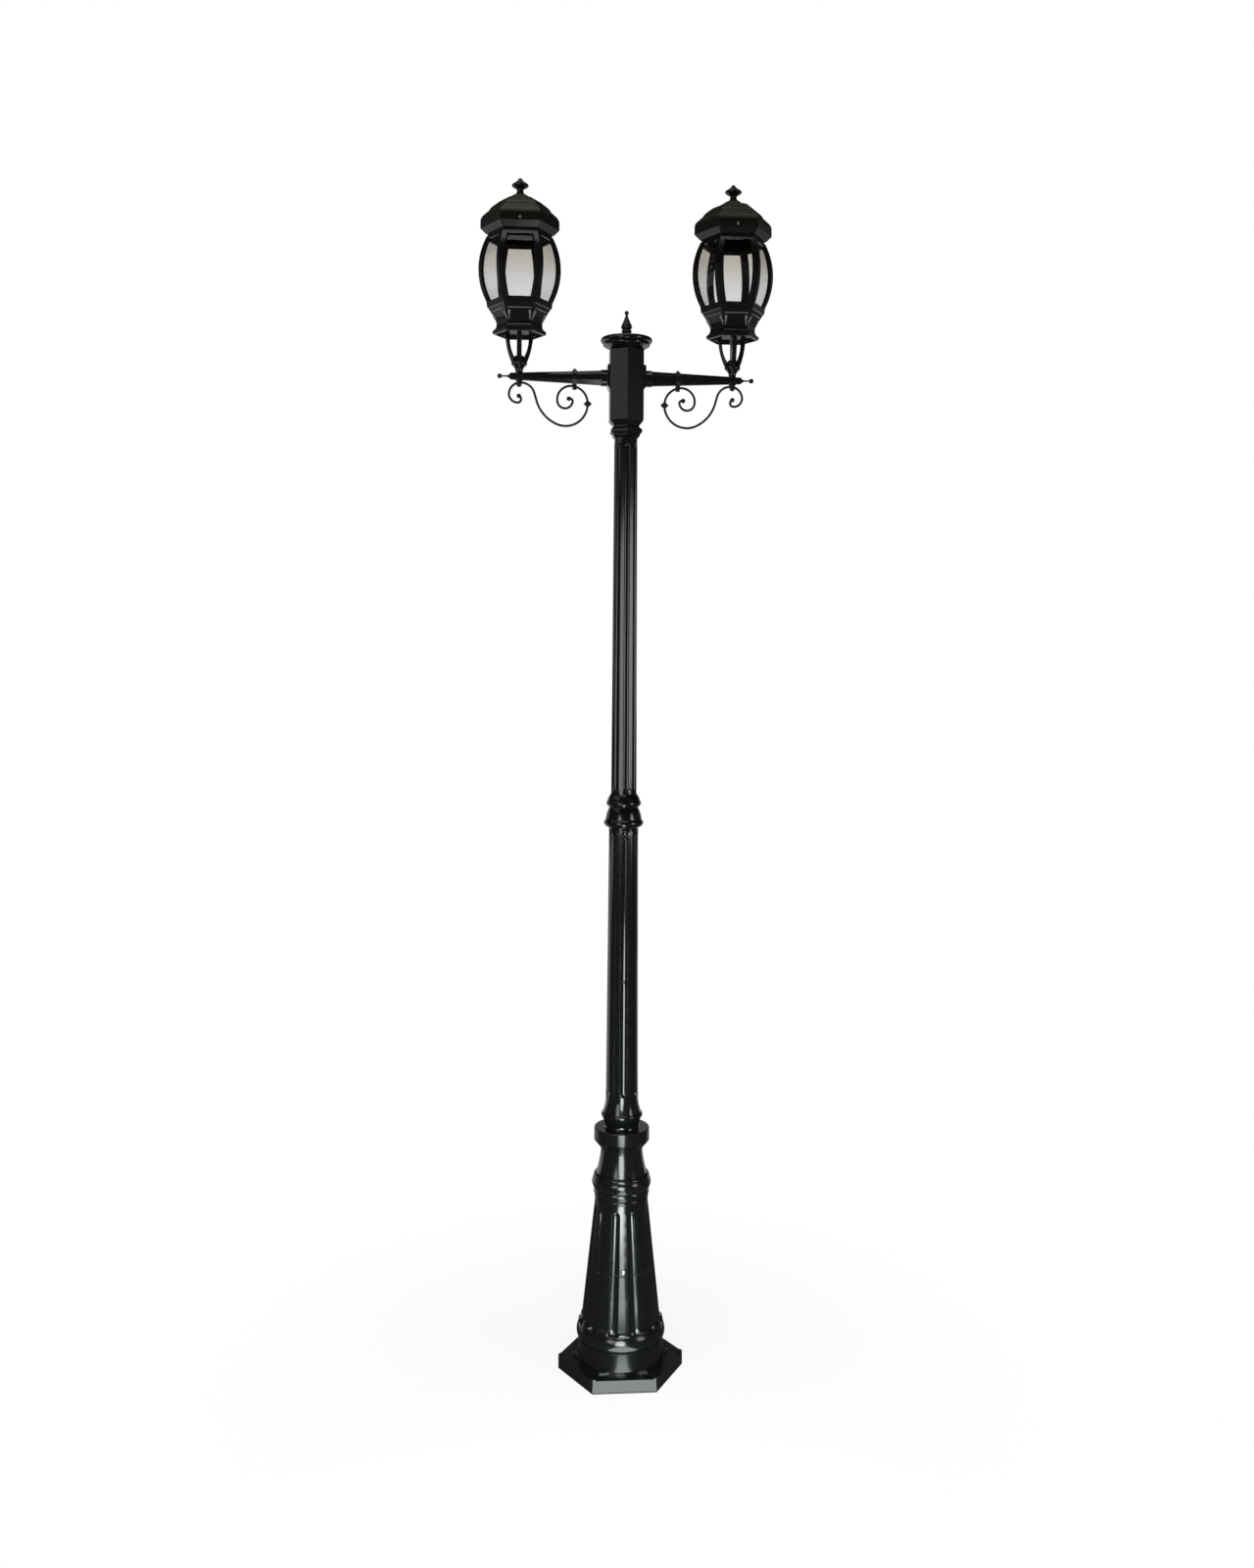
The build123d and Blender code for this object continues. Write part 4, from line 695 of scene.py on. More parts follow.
@dataclass(frozen=True)
class PlatedSteel:
    """Plated metal of threaded tubes, rods, nuts and shells, ribbed by a pitch in metres if it is threaded."""

    name: str
    colour: Colour = (0.62, 0.62, 0.6)
    dulled: Colour = (0.42, 0.42, 0.4)
    roughness: float = 0.3
    unevenness: float = 0.15
    lay: float = 360.0
    lay_strength: float = 0.2
    lay_depth: float = 0.0002
    pitch: float = 0.0
    thread_depth: float = 0.0005

    def make(self, effects: Effects) -> bpy.types.Material:
        """Build the material.

        Args:
            effects: The shared surface effects.

        Returns:
            The material.
        """
        material, graph, shader, where = new_material(self.name)
        skin = graph.use(
            effects.coating, where, Ripple_Scale=self.lay, Roughness=self.roughness, Unevenness=self.unevenness
        )
        colour = graph.blend(skin["Height"], self.colour, self.dulled)
        graph.feed(shader, Base_Color=colour, Metallic=1.0, Roughness=skin["Roughness"])
        if self.pitch:
            thread = graph.add("ShaderNodeTexWave", "thread", wave_type="BANDS", bands_direction="Z")
            graph.feed(thread, Scale=math.tau / (20 * self.pitch), Vector=where)
            graph.bump(shader, thread.outputs["Fac"], 1.0, self.thread_depth)
        else:
            graph.bump(shader, skin["Height"], self.lay_strength, self.lay_depth)
        return material


@dataclass(frozen=True)
class Moulded:
    """Moulded or glazed insulating material."""

    name: str
    colour: Colour
    roughness: float
    gloss: float = 0.0
    shade: Colour = (0.82, 0.8, 0.76)
    unevenness: float = 0.1
    mottle: float = 180.0
    mottle_strength: float = 0.1
    mottle_depth: float = 0.0003

    def make(self, effects: Effects) -> bpy.types.Material:
        """Build the material.

        Args:
            effects: The shared surface effects.

        Returns:
            The material.
        """
        material, graph, shader, where = new_material(self.name)
        skin = graph.use(
            effects.coating, where, Ripple_Scale=self.mottle, Roughness=self.roughness, Unevenness=self.unevenness
        )
        darker = tuple(part * share for part, share in zip(self.colour, self.shade))
        colour = graph.blend(skin["Height"], self.colour, darker)
        graph.feed(shader, Base_Color=colour, Roughness=skin["Roughness"], Coat_Weight=self.gloss)
        graph.bump(shader, skin["Height"], self.mottle_strength, self.mottle_depth)
        return material


class Finishes:
    """Every finish of the light, made once."""

    def __init__(self) -> None:
        """Make the materials."""
        effects = Effects()
        self.casting = SprayedCoat("black_casting").make(effects)
        self.base = SprayedCoat("black_base", joint=0.207).make(effects)
        self.tube = SprayedCoat("black_tube", roughness=0.13, unevenness=0.04, edge=0.0005, dust=0.0).make(effects)
        self.column = SprayedCoat(
            "black_column", colour=(0.005, 0.005, 0.0044), roughness=0.24, specular=0.45, dust=0.01
        ).make(effects)
        self.lantern = SprayedCoat(
            "black_lantern", colour=(0.0042, 0.0048, 0.004), roughness=0.18, edge=0.0005
        ).make(effects)
        # The roof's upper slopes are painted lighter and olive, as painted light from above.
        self.roof = SprayedCoat(
            "black_roof",
            colour=(0.005, 0.0055, 0.0045),
            roughness=0.2,
            unevenness=0.08,
            specular=0.34,
            top_light_colour=(0.0075, 0.0075, 0.003),
        ).make(effects)
        # Painted highlight: the drops and the bead get a light colour, brighter still at their edges, for the glints
        # on glossy black relief.
        self.relief = SprayedCoat(
            "relief_painted_highlight", colour=(0.14, 0.15, 0.13), wear_and_highlight_colour=(0.55, 0.57, 0.53), roughness=0.14, edge=0.0012, wear=4.0
        ).make(effects)
        self.wrought = SprayedCoat(
            "black_wrought",
            colour=(0.0045, 0.0048, 0.0045),
            roughness=0.28,
            ripple=420.0,
            ripple_strength=0.06,
            edge=0.0004,
        ).make(effects)
        self.screw = SprayedCoat(
            "coated_screw", colour=(0.009, 0.0095, 0.009), roughness=0.22, edge=0.0003
        ).make(effects)
        self.bare_screw = PlatedSteel("plated_screw", roughness=0.25).make(effects)
        self.glass = BentGlass().make()
        self.thread = PlatedSteel("threaded_tube", pitch=0.001).make(effects)
        self.nut = PlatedSteel("plated_nut", colour=(0.56, 0.55, 0.5)).make(effects)
        self.brass = PlatedSteel("brass_shell", colour=(0.72, 0.55, 0.28), roughness=0.28, pitch=0.0036).make(effects)
        self.ceramic = Moulded("glazed_ceramic", (0.8, 0.79, 0.74), 0.2, gloss=0.6).make(effects)
        self.block = Moulded("connector_plastic", (0.76, 0.75, 0.7), 0.45).make(effects)


def dress(material: bpy.types.Material, *nodes: str) -> None:
    """Give CAD nodes their finish.

    Args:
        material: The finish.
        nodes: The nodes' names.
    """
    for node in nodes:
        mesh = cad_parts[node].data
        if not mesh.materials:
            mesh.materials.append(material)
        for index in range(len(mesh.materials)):
            mesh.materials[index] = material


def coat(piece: Piece, material: bpy.types.Material, body: str) -> None:
    """Finish a new piece and let it ride on its body.

    Args:
        piece: The piece, settled.
        material: Its finish.
        body: The body that carries it.
    """
    piece.data.materials.clear()
    piece.data.materials.append(material)
    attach(piece, body)
    log.info("%s rides on %s", piece.name, body)


# ---------------------------------------------------------------- screws


@dataclass
class Screw:
    """A screw seen by its head, made along +Z with the head's seat at the origin.

    Sizes are in millimetres. The crown, rim and recess are shares of the head's radius and height.
    """

    head_r: float
    head_h: float
    shank_r: float
    shank_l: float
    recess: Recess = Recess.CROSS
    crown: float = 0.55
    rim: float = 0.25
    recess_depth: float = 0.62
    recess_width: float = 0.5
    rounds: int = 5

    def master(self) -> Piece:
        """Model the screw at the origin.

        Returns:
            The screw, settled.
        """
        profile = [(0.0, -self.shank_l), (self.shank_r, -self.shank_l), (self.shank_r, 0.0)]
        if self.head_r > self.shank_r:
            profile.append((self.head_r, 0.0))
        for step in range(self.rounds + 1):
            angle = math.radians(90 * step / self.rounds)
            radius = self.head_r * (self.crown + (1 - self.crown) * math.cos(angle))
            profile.append((radius, self.head_h * (self.rim + (1 - self.rim) * math.sin(angle))))
        profile.append((0.0, self.head_h))
        body = turned("screw", profile, (0, 0, 0), steps=28)
        combine(body, self._cutter(), "DIFFERENCE")
        return smooth(body, 40)

    def _cutter(self) -> Piece:
        """Model what the recess takes out of the head.

        Returns:
            The cutter, settled.
        """
        deselect()
        depth = self.head_h * self.recess_depth * MM
        size = self.head_r * self.recess_width * MM
        top = (0, 0, self.head_h * MM)
        if self.recess is Recess.HEX:
            bpy.ops.mesh.primitive_cylinder_add(vertices=6, radius=size, depth=2 * depth, location=top)
            return settle(bpy.context.object)
        bpy.ops.mesh.primitive_cube_add(size=1, location=top, scale=(size * 2.2, size * 0.42, depth * 2))
        first = settle(bpy.context.object)
        with editing(first):
            pick_faces(first, lambda face: face.normal.z < -0.9)
            bpy.ops.transform.resize(value=(0.5, 0.6, 1))
        combine(first, copy_to(first, Matrix.Rotation(math.radians(90), 4, "Z")), "UNION")
        return first

    def set_at(self, name: str, places: Iterable[Matrix]) -> Piece:
        """Model one piece of several such screws.

        Args:
            name: The name of the piece.
            places: Where each screw goes.

        Returns:
            The joined piece.
        """
        master = self.master()
        copies = [copy_to(master, place) for place in places]
        discard(master)
        return join(name, copies)


# ---------------------------------------------------------------- sub-assemblies


@dataclass
class Assembly:
    """Pieces that are finished and built together; sizes in millimetres."""

    finishes: Finishes


@dataclass
class Base(Assembly):
    """The two base castings and the screws that hold them together."""

    screw_z: float = 215.3
    seat_r: float = 64.9

    def build(self) -> None:
        """Finish the castings and model the set screws of the cone."""
        dress(self.finishes.base, "base_foot", "base_cone")
        rise = Vector((0, 0, self.screw_z * MM))
        places = [facing(around(turn) * self.seat_r * MM + rise, around(turn)) for turn in THIRDS]
        screw = Screw(head_r=4.0, head_h=2.0, shank_r=2.4, shank_l=9.0, recess=Recess.HEX)
        piece = screw.set_at("base_set_screws", places)
        coat(piece, self.finishes.bare_screw, "post")
        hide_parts("base_screws")


@dataclass
class Poles(Assembly):
    """Lower and upper poles with their collar."""

    screw_levels: tuple[float, float] = (1063.0, 777.0)
    foot_z: float = 535.0
    foot_r: float = 32.7
    narrowing: float = 3.2
    length: float = 548.0
    flute: float = 3.6

    def build(self) -> None:
        """Finish the tubes and the collar, and model the screws in the front flute."""
        dress(self.finishes.tube, "lower_pole", "upper_pole")
        dress(self.finishes.casting, "mid_collar")
        places = []
        for level in self.screw_levels:
            seat = self.foot_r - self.narrowing * (level - self.foot_z) / self.length - self.flute
            places.append(facing(Vector((0, -seat * MM, level * MM)), Vector((0, -1, 0))))
        screw = Screw(head_r=2.7, head_h=1.4, shank_r=1.5, shank_l=4.5)
        piece = screw.set_at("pole_fixing_screws", places)
        coat(piece, self.finishes.screw, "post")
        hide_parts("pole_screws")


@dataclass
class Column(Assembly):
    """Six-sided column, its ring, cap and finial."""

    cap_top: float = 2070.0
    scale_lean: float = -20.0

    def build(self) -> None:
        """Finish the column's castings and what is inside, and model the finial."""
        dress(self.finishes.casting, "column_ring", "column_cap")
        dress(self.finishes.column, "column")
        dress(self.finishes.thread, "cap_stud")
        dress(self.finishes.block, "terminal_block")
        self._finial()

    def _finial(self) -> None:
        """Model the finial, a spire set with overlapping scales."""
        profile = [
            (0, 0), (8.4, 0), (7.9, 2.0), (7.8, 4.0), (8.2, 5.6), (10.0, 6.6), (10.7, 8.0), (10.2, 9.4), (9.0, 10.4),
            (8.4, 11.6), (9.0, 12.8), (9.9, 14.4), (10.6, 16.6), (10.4, 19.0), (8.6, 23.0), (6.2, 29.0), (4.2, 34.5),
            (2.6, 39.4), (2.1, 41.4), (3.0, 42.2), (4.0, 43.6), (4.4, 45.6), (4.0, 47.6), (2.9, 49.2), (1.3, 49.9),
            (0, 50),
        ]  # fmt: skip
        parts = [turned("core", profile, (0, 0, self.cap_top * MM))]
        rows = ((17.0, 10.0, 4.6, 12), (21.0, 9.1, 4.2, 12), (25.0, 7.5, 3.7, 12), (29.0, 5.9, 3.1, 12))
        rows += ((32.6, 4.6, 2.6, 10), (36.0, 3.4, 2.1, 10))
        for row, (height, radius, size, count) in enumerate(rows):
            scale = self._scale(size)
            for step in range(count):
                turn = 360 / count * (step + 0.5 * (row % 2))
                spot = around(turn) * radius * MM + Vector((0, 0, (self.cap_top + height) * MM))
                spin = Matrix.Rotation(math.radians(turn), 4, "Z")
                lean = Matrix.Rotation(math.radians(self.scale_lean), 4, "Y")
                parts.append(copy_to(scale, Matrix.Translation(spot) @ spin @ lean))
            discard(scale)
        piece = smooth(join("scaled_finial", parts), 50)
        coat(piece, self.finishes.casting, "cap")
        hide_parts("column_finial")

    @staticmethod
    def _scale(size: float) -> Piece:
        """Model one pointed scale that faces +X.

        Args:
            size: The scale's height in millimetres.

        Returns:
            The scale, settled at the origin.
        """

        def point(vertex: bmesh.types.BMVert) -> None:
            """Draw the scale's tip up and outward."""
            if vertex.co.z > 0.5 * size * MM:
                vertex.co += Vector((0.06 * size * MM, 0, 0.14 * size * MM))

        return reshape(ball(8, 6, (0.3 * size, 0.46 * size, 0.55 * size)), point)


@dataclass
class SideAssembly(Assembly):
    """An assembly that both sides of the light have."""

    side: Side
    axis_z: float = 1984.0

    def node(self, name: str) -> str:
        """Name of this side's node."""
        return f"{name}_{self.side.value}"

    def dress_own(self, material: bpy.types.Material, *names: str) -> None:
        """Give this side's CAD nodes their finish."""
        dress(material, *map(self.node, names))


@dataclass
class Arm(SideAssembly):
    """One arm with its wall plate, scroll and fixings."""

    screw_x: float = 44.9
    screw_y: float = -13.6

    def build(self) -> None:
        """Finish the castings and wrought pieces, and model the sunk set screw of the sleeve."""
        self.dress_own(self.finishes.casting, "arm", "arm_flange", "arm_tip")
        self.dress_own(self.finishes.wrought, "scroll", "scroll_knot", "scroll_clamp", "cap_nut")
        self.dress_own(self.finishes.nut, "arm_nut")
        seat = Vector((self.side.sign * self.screw_x * MM, self.screw_y * MM, self.axis_z * MM))
        screw = Screw(head_r=2.0, head_h=1.6, shank_r=2.0, shank_l=2.4, recess=Recess.HEX, crown=0.8)
        piece = screw.set_at(self.node("sleeve_set_screw"), [facing(seat, Vector((0, -1, 0)))])
        coat(piece, self.finishes.screw, "post")
        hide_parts(self.node("arm_screw"))


@dataclass
class Lantern(SideAssembly):
    """One lantern on its carrier; heights from the arm's axis."""

    reach: float = 215.0
    roof_screw_z: float = 298.0
    roof_face: float = 68.3
    leg_screw_r: float = 33.6
    leg_screw_z: float = 85.0
    sides: int = 6
    drop_spread: float = 20.2
    drop_r: float = 46.6
    drop_z: float = 119.8
    drop_lean: float = 26.0
    drop_size: float = 3.1
    drop_l: float = 17.0
    line_r: float = 49.7
    line_z: float = 126.6
    line_l: float = 46.0
    knob_tip: float = 395.9
    socket_z: float = 110.6
    socket_r: float = 13.2
    thread_pitch: float = 3.6
    thread_turns: int = 6

    @property
    def foot(self) -> Vector:
        """The point where the lantern's axis crosses the arm's."""
        return Vector((self.side.sign * self.reach * MM, 0, self.axis_z * MM))

    def at(self, turn: float, radius: float, height: float) -> Vector:
        """Point in metres at a turn round the lantern's axis, in degrees from +X."""
        return self.foot + around(turn) * radius * MM + Vector((0, 0, height * MM))

    def build(self) -> None:
        """Finish the castings, panes and fittings, and model what they hold."""
        self.dress_own(self.finishes.lantern, "tripod", "basket", "cage")
        self.dress_own(self.finishes.roof, "roof", "roof_finial")
        self.dress_own(self.finishes.glass, "glass")
        self.dress_own(self.finishes.thread, "stem")
        self.dress_own(self.finishes.ceramic, "lamp_holder")
        self._crown()
        self._knob()
        self._roof_screws()
        self._leg_screws()
        self._drops()
        self._socket_shell()

    def _knob(self) -> None:
        """Model the knob on the roof, with the threaded end that screws into it."""
        drops = [
            (0, 44), (2, 44), (2, 36), (12, 36), (11.9, 34.6), (8.8, 31.8), (7.1, 29), (6.5, 26.5), (6.8, 24.2),
            (8.3, 22.4), (10.9, 20.6), (14.6, 18.6), (16.5, 16.9), (17.1, 15.4), (16.6, 13.8), (14.2, 11.6),
            (10.6, 9.4), (7.4, 7), (5.2, 4.6), (3.8, 2.4), (2.8, 1), (1.5, 0.2), (0, 0),
        ]  # fmt: skip
        profile = [(radius, self.knob_tip - drop) for radius, drop in drops]
        piece = smooth(turned(self.node("turned_knob"), profile, tuple(self.foot)), 50)
        coat(piece, self.finishes.roof, self.node("roof"))
        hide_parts(self.node("roof_finial"))

    def _crown(self) -> None:
        """Model the crown of the roof, its full upper tiers between the lower slope and the knob."""
        outer = [
            (52.7, 330.5), (52.4, 332.4), (50.6, 334.8), (48.4, 337.1), (45.4, 340.0), (42.0, 342.8), (39.4, 344.8),
            (38.9, 345.1), (38.2, 346.5), (35.4, 348.1), (31.4, 350.0), (27.0, 351.7), (22.8, 353.0), (20.8, 353.5),
            (20.3, 353.9), (19.7, 355.6), (18.3, 357.2), (16.4, 358.7), (14.4, 360.1), (13.2, 361.3), (12.3, 361.4),
        ]  # fmt: skip
        inner = [
            (12.3, 359.7), (14.8, 358.2), (19.7, 354.8), (22.7, 348.2), (29.8, 346.8), (48.6, 332.2), (51.8, 330.9),
            (52.7, 330.5),
        ]  # fmt: skip
        corner = math.cos(math.pi / self.sides)
        profile = [(flat / corner, height) for flat, height in outer + inner]
        piece = smooth(turned(self.node("roof_crown"), profile, tuple(self.foot), steps=self.sides), 32)
        coat(piece, self.finishes.roof, self.node("roof"))

    def _roof_screws(self) -> None:
        """Model the three screws in the roof's rim."""
        places = [facing(self.at(turn, self.roof_face, self.roof_screw_z), around(turn)) for turn in THIRDS]
        screw = Screw(head_r=2.9, head_h=2.0, shank_r=1.8, shank_l=12.4)
        piece = screw.set_at(self.node("rim_screws"), places)
        coat(piece, self.finishes.bare_screw, self.node("roof"))
        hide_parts(self.node("roof_screws"))

    def _leg_screws(self) -> None:
        """Model the screws that hold the carrier's legs under the basket."""
        down = Vector((0, 0, -1))
        places = [facing(self.at(turn, self.leg_screw_r, self.leg_screw_z), down) for turn in THIRDS]
        screw = Screw(head_r=3.6, head_h=2.2, shank_r=2.0, shank_l=7.9)
        piece = screw.set_at(self.node("leg_screws"), places)
        coat(piece, self.finishes.screw, "post")
        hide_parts(self.node("tripod_screws"))

    def _drops(self) -> None:
        """Model the raised drops, two on each face of the basket, and the bead over them."""
        drop, line = self._drop(), self._line()
        lean = Matrix.Rotation(math.radians(self.drop_lean), 4, "Y")
        copies = []
        for face in range(self.sides):
            turn = FRONT + 360 / self.sides * face
            along = around(turn + 90)
            spin = Matrix.Rotation(math.radians(turn), 4, "Z")
            for way in (-1, 1):
                spot = self.at(turn, self.drop_r, self.drop_z) + along * way * self.drop_spread * MM
                copies.append(copy_to(drop, Matrix.Translation(spot) @ spin @ lean))
            copies.append(copy_to(line, Matrix.Translation(self.at(turn, self.line_r, self.line_z)) @ spin))
        discard(drop)
        discard(line)
        piece = smooth(join(self.node("basket_drops"), copies), 60)
        # The drops and the bead take the finish of painted highlights.
        coat(piece, self.finishes.relief, "post")

    def _line(self) -> Piece:
        """Model the bead from which the drops hang, along Y at the origin.

        Returns:
            The bead, settled.
        """

        def stretch(vertex: bmesh.types.BMVert) -> None:
            """Draw the bead's two ends apart."""
            if abs(vertex.co.y) > SEAM:
                vertex.co.y += math.copysign(self.line_l / 2 * MM, vertex.co.y)

        return reshape(ball(12, 8, (1.0, 1.0, 1.0)), stretch)

    def _drop(self) -> Piece:
        """Model one drop that hangs along -Z and stands out along +X.

        Returns:
            The drop, settled, with its head at the origin.
        """

        def draw_out(vertex: bmesh.types.BMVert) -> None:
            """Draw the lower half out to a tail that gets narrower and thinner."""
            fall = max(0.0, -vertex.co.z / (self.drop_size * MM))
            vertex.co.z -= self.drop_l * MM * fall**1.7
            vertex.co.y *= 1 - 0.55 * fall**0.8
            vertex.co.x *= 1 - 0.35 * fall**0.8

        return reshape(ball(16, 12, (2.3, self.drop_size, self.drop_size)), draw_out)

    def _socket_shell(self) -> None:
        """Model the lamp holder's threaded shell and its centre contact."""
        z, r = self.socket_z, self.socket_r
        profile = [(r, z)]
        for step in range(self.thread_turns):
            turn_z = z + 0.8 + step * self.thread_pitch
            profile += [(12.5, turn_z), (12.3, turn_z + 0.9), (12.5, turn_z + 1.8), (r, turn_z + 2.7)]
        profile += [(13.3, 134.4), (13.5, 134.8), (13.5, z), (r, z)]
        shell = turned("shell", profile, tuple(self.foot), steps=40)
        button = [(0, 109.1), (4.2, 109.1), (4.2, z), (3.4, 111.6), (0, 112.4)]
        contact = turned("contact", button, tuple(self.foot), steps=24)
        piece = smooth(join(self.node("socket_shell"), [shell, contact]), 45)
        coat(piece, self.finishes.brass, "post")


# ---------------------------------------------------------------- studio


@dataclass(frozen=True)
class SoftLamp:
    """One soft rectangular lamp; lengths in metres, brightness as radiance."""

    name: str
    place: Point
    target: Point
    width: float
    height: float
    brightness: float
    colour: Colour = (1.0, 1.0, 1.0)
    shape: str = "RECTANGLE"

    def hang(self) -> None:
        """Hang the lamp, unseen by the camera itself."""
        data = bpy.data.lights.new(self.name, "AREA")
        data.shape = self.shape
        data.size, data.size_y = self.width, self.height
        area = self.width * self.height
        if self.shape == "ELLIPSE":
            area *= math.pi / 4
        data.energy = math.pi * area * self.brightness
        data.color = self.colour
        lamp = bpy.data.objects.new(self.name, data)
        lamp.location = self.place
        lamp.rotation_mode = "QUATERNION"
        lamp.rotation_quaternion = (Vector(self.target) - Vector(self.place)).to_track_quat("-Z", "Y")
        lamp.visible_camera = False
        bpy.context.scene.collection.objects.link(lamp)


@dataclass
class Studio:
    """White paper behind and below, a dim room in front, and soft lamps; lengths in metres.

    Each pair says where a change starts and where it ends. The turns are cosines from the paper's way.
    """

    floor_colour: Colour = (0.9, 0.9, 0.9)
    floor_radius: float = 30.0
    plain_paper: tuple[float, float] = (0.1, 0.9)
    plain_glow: float = 0.86
    floor_turns: tuple[float, float] = (0.42, 0.72)
    room_end: tuple[float, float] = (0.7, 2.4)
    paper_end: tuple[float, float] = (10.0, 6.5)
    wall_turns: tuple[float, float] = (0.42, 1.0)
    wall_top: tuple[float, float] = (0.4, 0.12)
    paper_way: Point = (-0.1, 0.99, 0.0)
    ambient: float = 0.3
    room: float = 0.07
    lamps: tuple[SoftLamp, ...] = (
        SoftLamp("low_core", (-0.11, -1.35, 0.08), (-0.01, 0, -0.9), 0.6, 0.2, 13.0, (0.94, 1.0, 0.96)),
        SoftLamp("low_strip", (-0.11, -1.4, 0.3), (-0.01, 0, -1.1), 0.55, 1.2, 15.0, (0.92, 1.0, 0.95), "ELLIPSE"),
        SoftLamp("floor_far", (0.0, -0.95, 0.01), (0.0, -0.95, 1.0), 0.2, 0.76, 7.0, (0.92, 1.0, 0.95)),
        SoftLamp("floor_near", (0.0, -0.28, 0.001), (0.0, -0.28, 1.0), 0.15, 0.34, 6.2, (0.92, 1.0, 0.95)),
        SoftLamp("high_left", (-1.22, -0.44, 2.3), (0, 0, 2.0), 1.5, 0.7, 0.7, (1.0, 0.99, 0.95)),
        SoftLamp("left_window", (-1.2, -2.1, 1.27), (0, 0, 1.27), 0.9, 1.45, 4.2, (0.97, 0.95, 1.0), "ELLIPSE"),
        SoftLamp("right_window", (1.9, -1.45, 1.42), (0, 0, 1.42), 0.85, 1.3, 4.8, (0.98, 0.98, 1.0), "ELLIPSE"),
        SoftLamp("top_panel", (-0.3, -0.6, 4.4), (0, 0, 1.6), 2.2, 2.2, 1.6, (1.0, 0.99, 0.93)),
    )

    def build(self) -> None:
        """Make the floor, the surroundings and the lamps."""
        self._floor()
        self._surroundings()
        for lamp in self.lamps:
            lamp.hang()

    def _floor(self) -> None:
        """Make a wide pale floor: plain paper under the light, white farther off."""
        deselect()
        bpy.ops.mesh.primitive_circle_add(
            vertices=96, radius=self.floor_radius, fill_type="NGON", location=(0, 0, 0)
        )
        floor = bpy.context.object
        floor.name = "studio_floor"
        material, graph, shader, where = new_material("studio_floor")
        graph.feed(shader, Base_Color=(*self.floor_colour, 1), Roughness=0.9, Specular_IOR_Level=0.0)
        floor.data.materials.append(material)
        away = graph.vector("LENGTH", "distance from the post", where)["Value"]
        fade = graph.ramp("white farther off", away, *self.plain_paper, self.plain_glow)
        outward = graph.vector("NORMALIZE", "way from the post", where)["Vector"]
        path = graph.add("ShaderNodeLightPath").outputs
        through = path["Is Transmission Ray"]
        seen = graph.calc("MAXIMUM", path["Is Camera Ray"], through)
        glossy = graph.calc("MULTIPLY", path["Is Glossy Ray"], graph.calc("SUBTRACT", 1.0, through))
        part = graph.calc("MAXIMUM", graph.calc("MULTIPLY", seen, fade), glossy)
        beyond = graph.ramp("paper past the room", away, *self.room_end, self.room)
        ended = graph.ramp("far edge of the paper", away, *self.paper_end, self.room)
        sheet = graph.calc("MINIMUM", beyond, ended)
        paper = graph.calc("MINIMUM", self._paper(graph, outward, self.floor_turns), sheet)
        dimmed = graph.calc("MULTIPLY", glossy, graph.calc("SUBTRACT", 1.0, paper))
        glow = graph.add("ShaderNodeEmission", "white paper")
        graph.feed(glow, Color=(1, 1, 1, 1), Strength=graph.calc("SUBTRACT", 1.0, dimmed))
        graph.end_in_mix(part, shader, glow)

    def _paper(self, graph: Graph, outward: Socket, turns: tuple[float, float]) -> Socket:
        """Say how white the paper is in gloss, looking outward: full behind, dim in the room in front."""
        toward = graph.vector("DOT_PRODUCT", "toward the paper", outward, self.paper_way)["Value"]
        return graph.ramp("from the room to the paper", toward, *turns, self.room)

    def _surroundings(self) -> None:
        """Make the surroundings: white to look at and through glass, paper and room in gloss, dimmer as a light."""
        world = bpy.data.worlds.new("studio")
        bpy.context.scene.world = world
        world.use_nodes = True
        graph = Graph(world.node_tree)
        direction = graph.add("ShaderNodeTexCoord").outputs["Generated"]
        path = graph.add("ShaderNodeLightPath").outputs
        low = graph.ramp("top of the paper", graph.height_of(direction), *self.wall_top, self.room)
        paper = graph.calc("MULTIPLY", self._paper(graph, direction, self.wall_turns), low)
        gloss = graph.calc("MULTIPLY", path["Is Glossy Ray"], paper)
        straight = graph.calc("MAXIMUM", path["Is Camera Ray"], gloss)
        seen = graph.calc("MAXIMUM", straight, path["Is Transmission Ray"])
        lit = graph.calc("MULTIPLY", path["Is Diffuse Ray"], self.ambient)
        sky = world.node_tree.nodes["Background"]
        graph.feed(sky, Color=(1, 1, 1, 1), Strength=graph.calc("MAXIMUM", seen, lit))


@dataclass
class Viewpoint:
    """The photograph's camera: level, with its frame shifted down; lengths in millimetres."""

    distance: float = 2872.0
    height: float = 1437.0
    yaw: float = 4.5
    roll: float = 0.35
    scale: float = 1.97
    sensor: float = 36.0
    horizon_row: float = 664.0
    axis_column: float = 637.6
    frame_width: float = 1280.0
    frame_height: float = 1600.0

    def build(self) -> None:
        """Make the camera."""
        data = bpy.data.cameras.new("viewpoint")
        data.sensor_fit = "HORIZONTAL"
        data.sensor_width = self.sensor
        pixels = self.distance / self.scale
        data.lens = self.sensor * pixels / self.frame_width
        data.shift_y = (self.horizon_row - self.frame_height / 2) / self.frame_width
        data.clip_start, data.clip_end = 0.05, 60.0
        camera = bpy.data.objects.new("viewpoint", data)
        yaw = math.radians(self.yaw)
        camera.location = Vector((-math.sin(yaw), -math.cos(yaw), 0)) * self.distance * MM
        camera.location.z = self.height * MM
        aside = math.atan((self.axis_column - self.frame_width / 2) / pixels)
        look = Matrix.Rotation(-yaw + aside, 4, "Z") @ Matrix.Rotation(math.radians(90), 4, "X")
        camera.rotation_mode = "QUATERNION"
        camera.rotation_quaternion = (look @ Matrix.Rotation(math.radians(self.roll), 4, "Z")).to_quaternion()
        bpy.context.scene.collection.objects.link(camera)
        bpy.context.scene.camera = camera


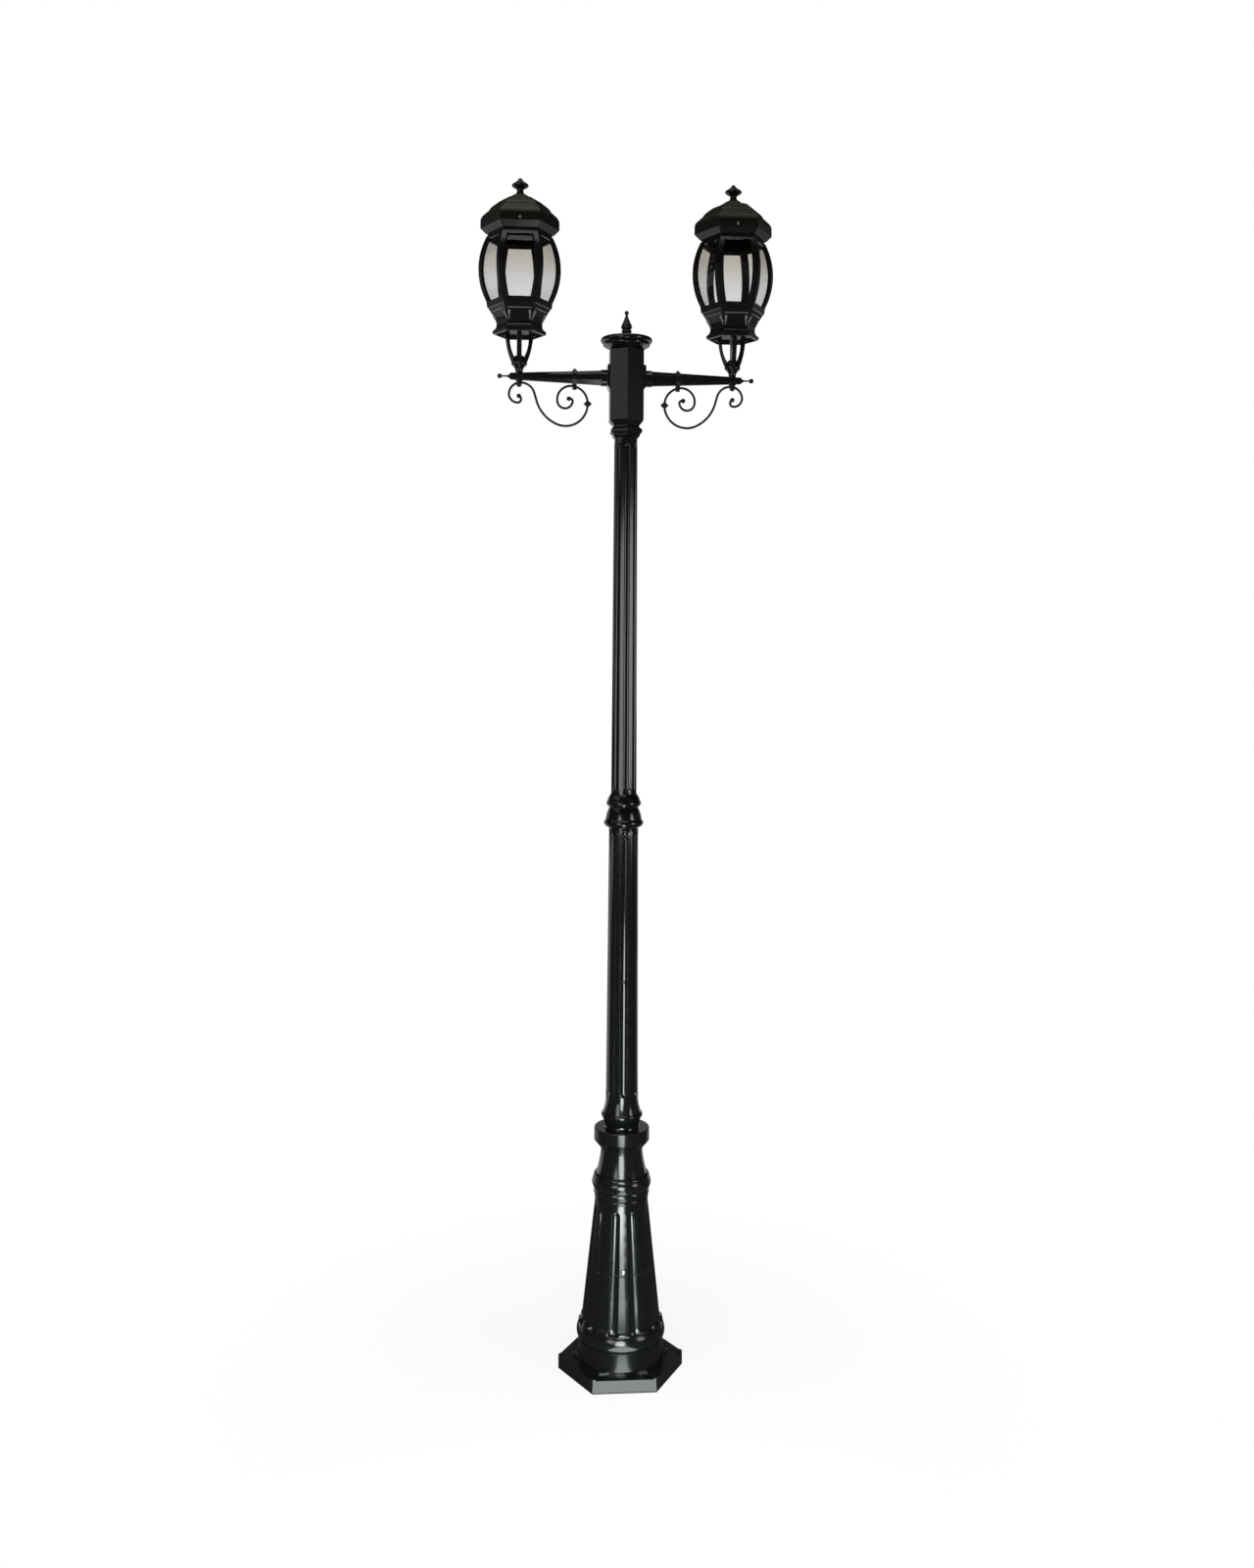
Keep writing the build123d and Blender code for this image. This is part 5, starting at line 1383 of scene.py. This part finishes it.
def main() -> None:
    """Build every sub-assembly in order."""
    logging.basicConfig(level=logging.INFO, format="%(name)s: %(message)s")
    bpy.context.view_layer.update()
    bpy.context.scene.view_settings.view_transform = "Standard"
    Viewpoint().build()
    Studio().build()
    finishes = Finishes()
    assemblies = [Base(finishes), Poles(finishes), Column(finishes)]
    for side in Side:
        assemblies += [Arm(finishes, side), Lantern(finishes, side)]
    for assembly in assemblies:
        assembly.build()
    deselect()


if __name__ == "__main__":
    main()
